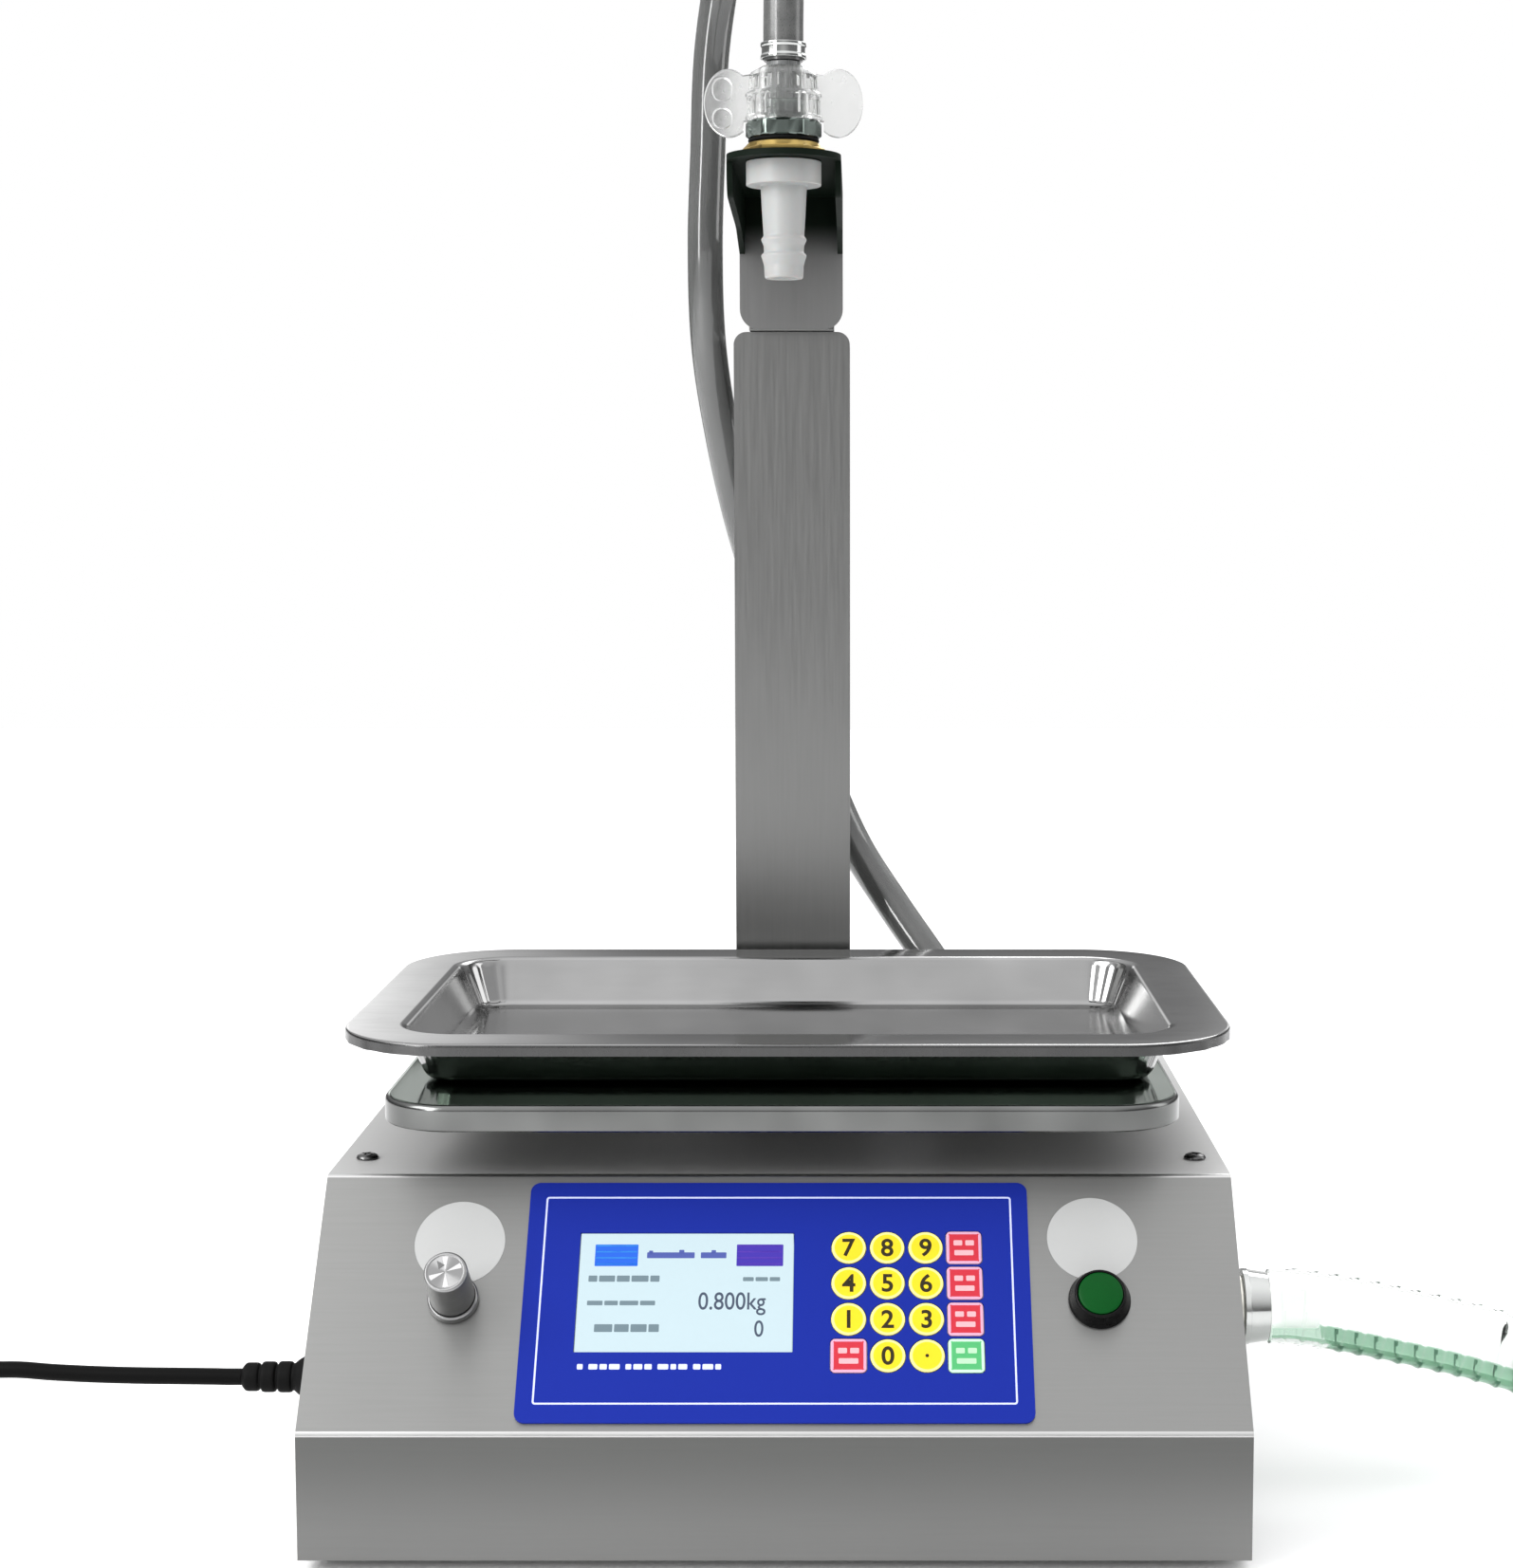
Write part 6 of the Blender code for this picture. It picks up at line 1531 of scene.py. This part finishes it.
def make_paints():
    """Each finish is one named material with its own grain."""
    long_x, long_z = (0.03, 1, 1), (1, 1, 0.03)
    sheet = dict(scale=900, spread=0.06, tint=0.07, bump=0.05, depth=0.00005, cloud=0.12)
    steel = dict(sheet, metal=1.0)
    # The front is a darker copy of the cover's steel: painted shade, growing darker towards its
    # top.
    front = finish("front_painted_shade", (0.2, 0.201, 0.197), 0.46, grain=long_x, brushed=(1, 0, 0),
                   **steel)
    plate = finish("back_plate_painted_shade", (0.24, 0.24, 0.238), 0.36, 1.0, long_z, 900)
    made = dict(
        front=shade_painted_by_height(front, (0.008, 0.052), (0.12, 0.121, 0.118)),
        # The back plate's top turns near black: painted shade under the hood.
        back_plate=shade_painted_by_height(plate, (0.516, 0.535), (0.012, 0.018, 0.013)),
        steel=finish("brushed_cover", (0.29, 0.291, 0.285), 0.46, grain=long_x,
                     brushed=(0, 0.7, 0.7), Anisotropic=0.75, **steel),
        # The fold lines are a lighter copy of the steel: a painted highlight.
        fold=finish("fold_painted_highlight", (0.56, 0.56, 0.555), 0.34, grain=long_x, **steel),
        # The top under the platform is a lighter, partly diffuse copy of the steel: painted light
        # where it lies in shade.
        top=finish("top_painted_light", (0.5, 0.5, 0.495), 0.5, 0.35, long_x, **sheet),
        upright=finish("brushed_upright", (0.25, 0.251, 0.247), 0.34, grain=long_z,
                       brushed=(1, 0, 0), Anisotropic=0.6, **steel),
        platform=finish("satin_platform", (0.25, 0.255, 0.25), 0.22, grain=long_x,
                        cloud_scale=22, **dict(steel, cloud=0.9)),
        # The platform's top is a dark green polished copy: painted shade and reflection under the
        # tray.
        pad=finish("platform_top_painted_shade", (0.15, 0.2, 0.16), 0.1, 1.0, spread=0.04, cloud=0.2,
                   cloud_scale=18),
        tray=finish("pressed_bright", (0.4, 0.4, 0.398), 0.14, 1.0, (0.2, 1, 1), 300, 0.05, 0.04,
                    cloud=0.6, cloud_scale=17, bump=0.03),
        # Painted shade on the tray's rolled edge.
        lip=finish("tray_edge_painted_shade", (0.1, 0.1, 0.1), 0.28, 1.0, (1, 1, 0.3), 500, 0.06, 0.1,
                   cloud=0.4, cloud_scale=30),
        # The hood is near black all over: painted shade for the dark inside of the channel.
        hood=finish("hood_painted_shade", (0.004, 0.0075, 0.0048), 0.55, scale=1400, spread=0.06, tint=0.12,
                    bump=0.03, gloss=0.05),
        chrome=finish("bright_chrome", (0.5, 0.51, 0.5), 0.13, 1.0, tint=0.03),
        hexagon=finish("plated_hexagon", (0.16, 0.19, 0.175), 0.2, 1.0, tint=0.06),
        nickel=finish("knurled_nickel", (0.8, 0.79, 0.72), 0.34, 1.0),
        slot=finish("knurl_shadow", (0.1, 0.095, 0.07), 0.5, 1.0, tint=0.1),
        screw=finish("zinc_screw", (0.1, 0.1, 0.1), 0.26, 1.0, spread=0.08, tint=0.1),
        brass=finish("brass_yellow", (0.5, 0.36, 0.12), 0.42, 1.0, spread=0.08, tint=0.08,
                     cloud=0.2, cloud_scale=60),
        aluminium=finish("turned_aluminium", (0.27, 0.27, 0.27), 0.32, 1.0, (0.02, 0.02, 1), 1500,
                         0.06, 0.08, cloud=0.3, cloud_scale=160, bump=0.05),
        turned_face=finish("turned_face", (0.27, 0.27, 0.27), 0.34, 1.0, scale=500, spread=0.04,
                           tint=0.03, Anisotropic=0.9),
        floor=finish("floor_paint", (0.93, 0.93, 0.93), 0.8, scale=30, spread=0.04, tint=0.004,
                     bump=0),
        black=finish("black_moulding", (0.014, 0.014, 0.014), 0.4, scale=1500, tint=0.1,
                     gloss=0.35),
        bezel=finish("gloss_bezel", (0.002, 0.002, 0.002), 0.28, spread=0.04, tint=0.1, gloss=0.12),
        washer=finish("plated_washer", (0.22, 0.22, 0.22), 0.3, 1.0),
        rubber=finish("black_rubber_skin", (0.004, 0.004, 0.004), 0.6, scale=1800, spread=0.08,
                      tint=0.15, gloss=0.07),
        cord=finish("cord_jacket", (0.003, 0.003, 0.003), 0.5, scale=1200, spread=0.08, tint=0.15,
                    gloss=0.05),
        blue=finish("blue_film", (0.008, 0.02, 0.235), 0.46, scale=2500, tint=0.04, bump=0.015,
                    gloss=0.05),
        print=finish("pale_print", (0.5, 0.54, 0.85), 0.5, spread=0.03, tint=0.03),
        ink=finish("dark_ink", (0.022, 0.018, 0.006), 0.5, spread=0.03, tint=0.1, gloss=0.15),
        faint=finish("faint_print", (0.62, 0.33, 0.36), 0.5, spread=0.03),
        faint_green=finish("faint_green_print", (0.36, 0.6, 0.38), 0.5, spread=0.03),
        faint_ink=finish("pointer_ink", (0.1, 0.1, 0.1), 0.4, spread=0.03, tint=0.1),
        # A painted highlight for the knob's top.
        wedge=finish("painted_highlight_wedge", (0.62, 0.62, 0.62), 0.24, 1.0, spread=0.04, tint=0.03),
        button=finish("green_cap", (0.001, 0.056, 0.008), 0.34, tint=0.08, gloss=0.08),
        sticker=finish("sticker_paper", (0.4, 0.404, 0.4), 0.5, scale=700, tint=0.015, cloud=0.12,
                       cloud_scale=30),
        nylon=finish("white_nylon_skin", (0.33, 0.335, 0.33), 0.42, scale=900, spread=0.06,
                     tint=0.02, Subsurface_Weight=0.2, Subsurface_Scale=0.004),
        hose=finish("clear_hose", (0.2, 0.204, 0.2), 0.18, grain=long_z, scale=600, spread=0.06,
                    tint=0.14, cloud=0.4, cloud_scale=30, IOR=1.45, clear=0.55, Coat_Weight=0.8,
                    Coat_Roughness=0.06),
        braid=finish("braided_hose", (0.12, 0.122, 0.12), 0.3, 0, (1, 1, 0.5), 2600, 0.1, 0.35,
                     cloud=0.7, cloud_scale=260, bump=0.4, depth=0.0002, Coat_Weight=0.5,
                     Coat_Roughness=0.08),
        suction=finish("clear_suction", (0.96, 0.98, 0.965), 0.05, spread=0.03, tint=0.01, IOR=1.1,
                       clear=1.0),
        suction_low=finish("green_suction", (0.4, 0.64, 0.48), 0.12, scale=500, spread=0.04,
                           tint=0.1, cloud=0.2, cloud_scale=40, IOR=1.15, clear=0.8),
        suction_rib=finish("green_helix", (0.02, 0.11, 0.055), 0.22, scale=500, tint=0.06, IOR=1.35,
                           clear=0.4),
        suction_thread=finish("pale_helix", (0.88, 0.92, 0.89), 0.14, tint=0.04, IOR=1.14,
                              clear=0.9),
        frosted=finish("frosted_clear", (0.86, 0.865, 0.86), 0.24, scale=300, spread=0.08,
                       tint=0.03, cloud=0.1, cloud_scale=60, IOR=1.44, clear=0.92),
        wing_core=finish("frosted_core", (0.8, 0.81, 0.8), 0.12, scale=300, spread=0.06, tint=0.06,
                         cloud=0.3, cloud_scale=160, IOR=1.36, clear=0.92),
        spigot=finish("clear_spigot", (0.34, 0.35, 0.35), 0.28, grain=long_z, scale=900,
                      spread=0.08, tint=0.1, cloud=0.5, cloud_scale=140, IOR=1.44, clear=0.4),
        # The barb glows a little: painted light, so it stays white behind the clear hose.
        barb=finish("barb_painted_glow", (0.94, 0.95, 0.94), 0.4, tint=0.02, Emission_Color=(1, 1, 1, 1),
                    Emission_Strength=0.25),
        laminate=finish("green_laminate_board", (0.03, 0.2, 0.09), 0.45, scale=1500, tint=0.1),
        casting=finish("cast_aluminium", (0.62, 0.62, 0.63), 0.34, 1.0, scale=1200, spread=0.08,
                       bump=0.06),
    )
    for key, tint, film, rim in (
        ("yellow", 0.03, (0.72, 0.52, 0.014), (0.8, 0.7, 0.24)),
        ("red", 0.06, (0.46, 0.024, 0.04), (0.55, 0.3, 0.42)),
        ("green", 0.06, (0.07, 0.36, 0.13), (0.45, 0.7, 0.5)),
    ):
        made[key] = finish(f"{key}_film", film, 0.44, tint=tint, gloss=0.15)
        made[f"{key}_rim"] = finish(f"{key}_rim", rim, 0.42, tint=0.03, gloss=0.2)
    for name, colour in (
        ("screen", (0.72, 0.9, 0.97)), ("screen_blue", (0.02, 0.17, 0.95)),
        ("screen_violet", (0.07, 0.035, 0.52)), ("screen_dark", (0.1, 0.14, 0.5)),
        ("screen_grey", (0.22, 0.31, 0.36)), ("screen_pale_blue", (0.05, 0.36, 1.0)),
        ("screen_mauve", (0.14, 0.06, 0.6)), ("screen_ink", (0.08, 0.11, 0.17)),
    ):
        made[name] = finish(f"{name}_light", [c * 0.2 for c in colour], 0.15, spread=0.02,
                            gloss=0.2, Emission_Color=(*colour, 1), Emission_Strength=0.62)
    return made


# CAD nodes that stay, with their finishes
CARRIED = {
    "base_plate": "steel", "rear_panel": "steel", "control_board": "laminate",
    "potentiometer": "brass", "load_cell": "casting", "platform_spider": "casting",
    "pump_head": "black", "pump_motor": "steel", "power_supply": "casting",
}


def dress_carried():
    for name, paint in CARRIED.items():
        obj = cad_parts[name]
        obj.data.materials.clear()
        obj.data.materials.append(paints[paint])


camera()
paints = make_paints()
for build in (
    output_hose, suction_hose, mains_lead, studio, floor, housing, overlay, keys, display, stickers,
    flow_knob, start_button, platform, tray, column, arm, clamp_knob, nozzle, hex_parts, wing_nut,
    tail_and_clamp, fittings, inner_hose, dress_carried,
):
    build()
bpy.context.scene.view_settings.view_transform = "Standard"
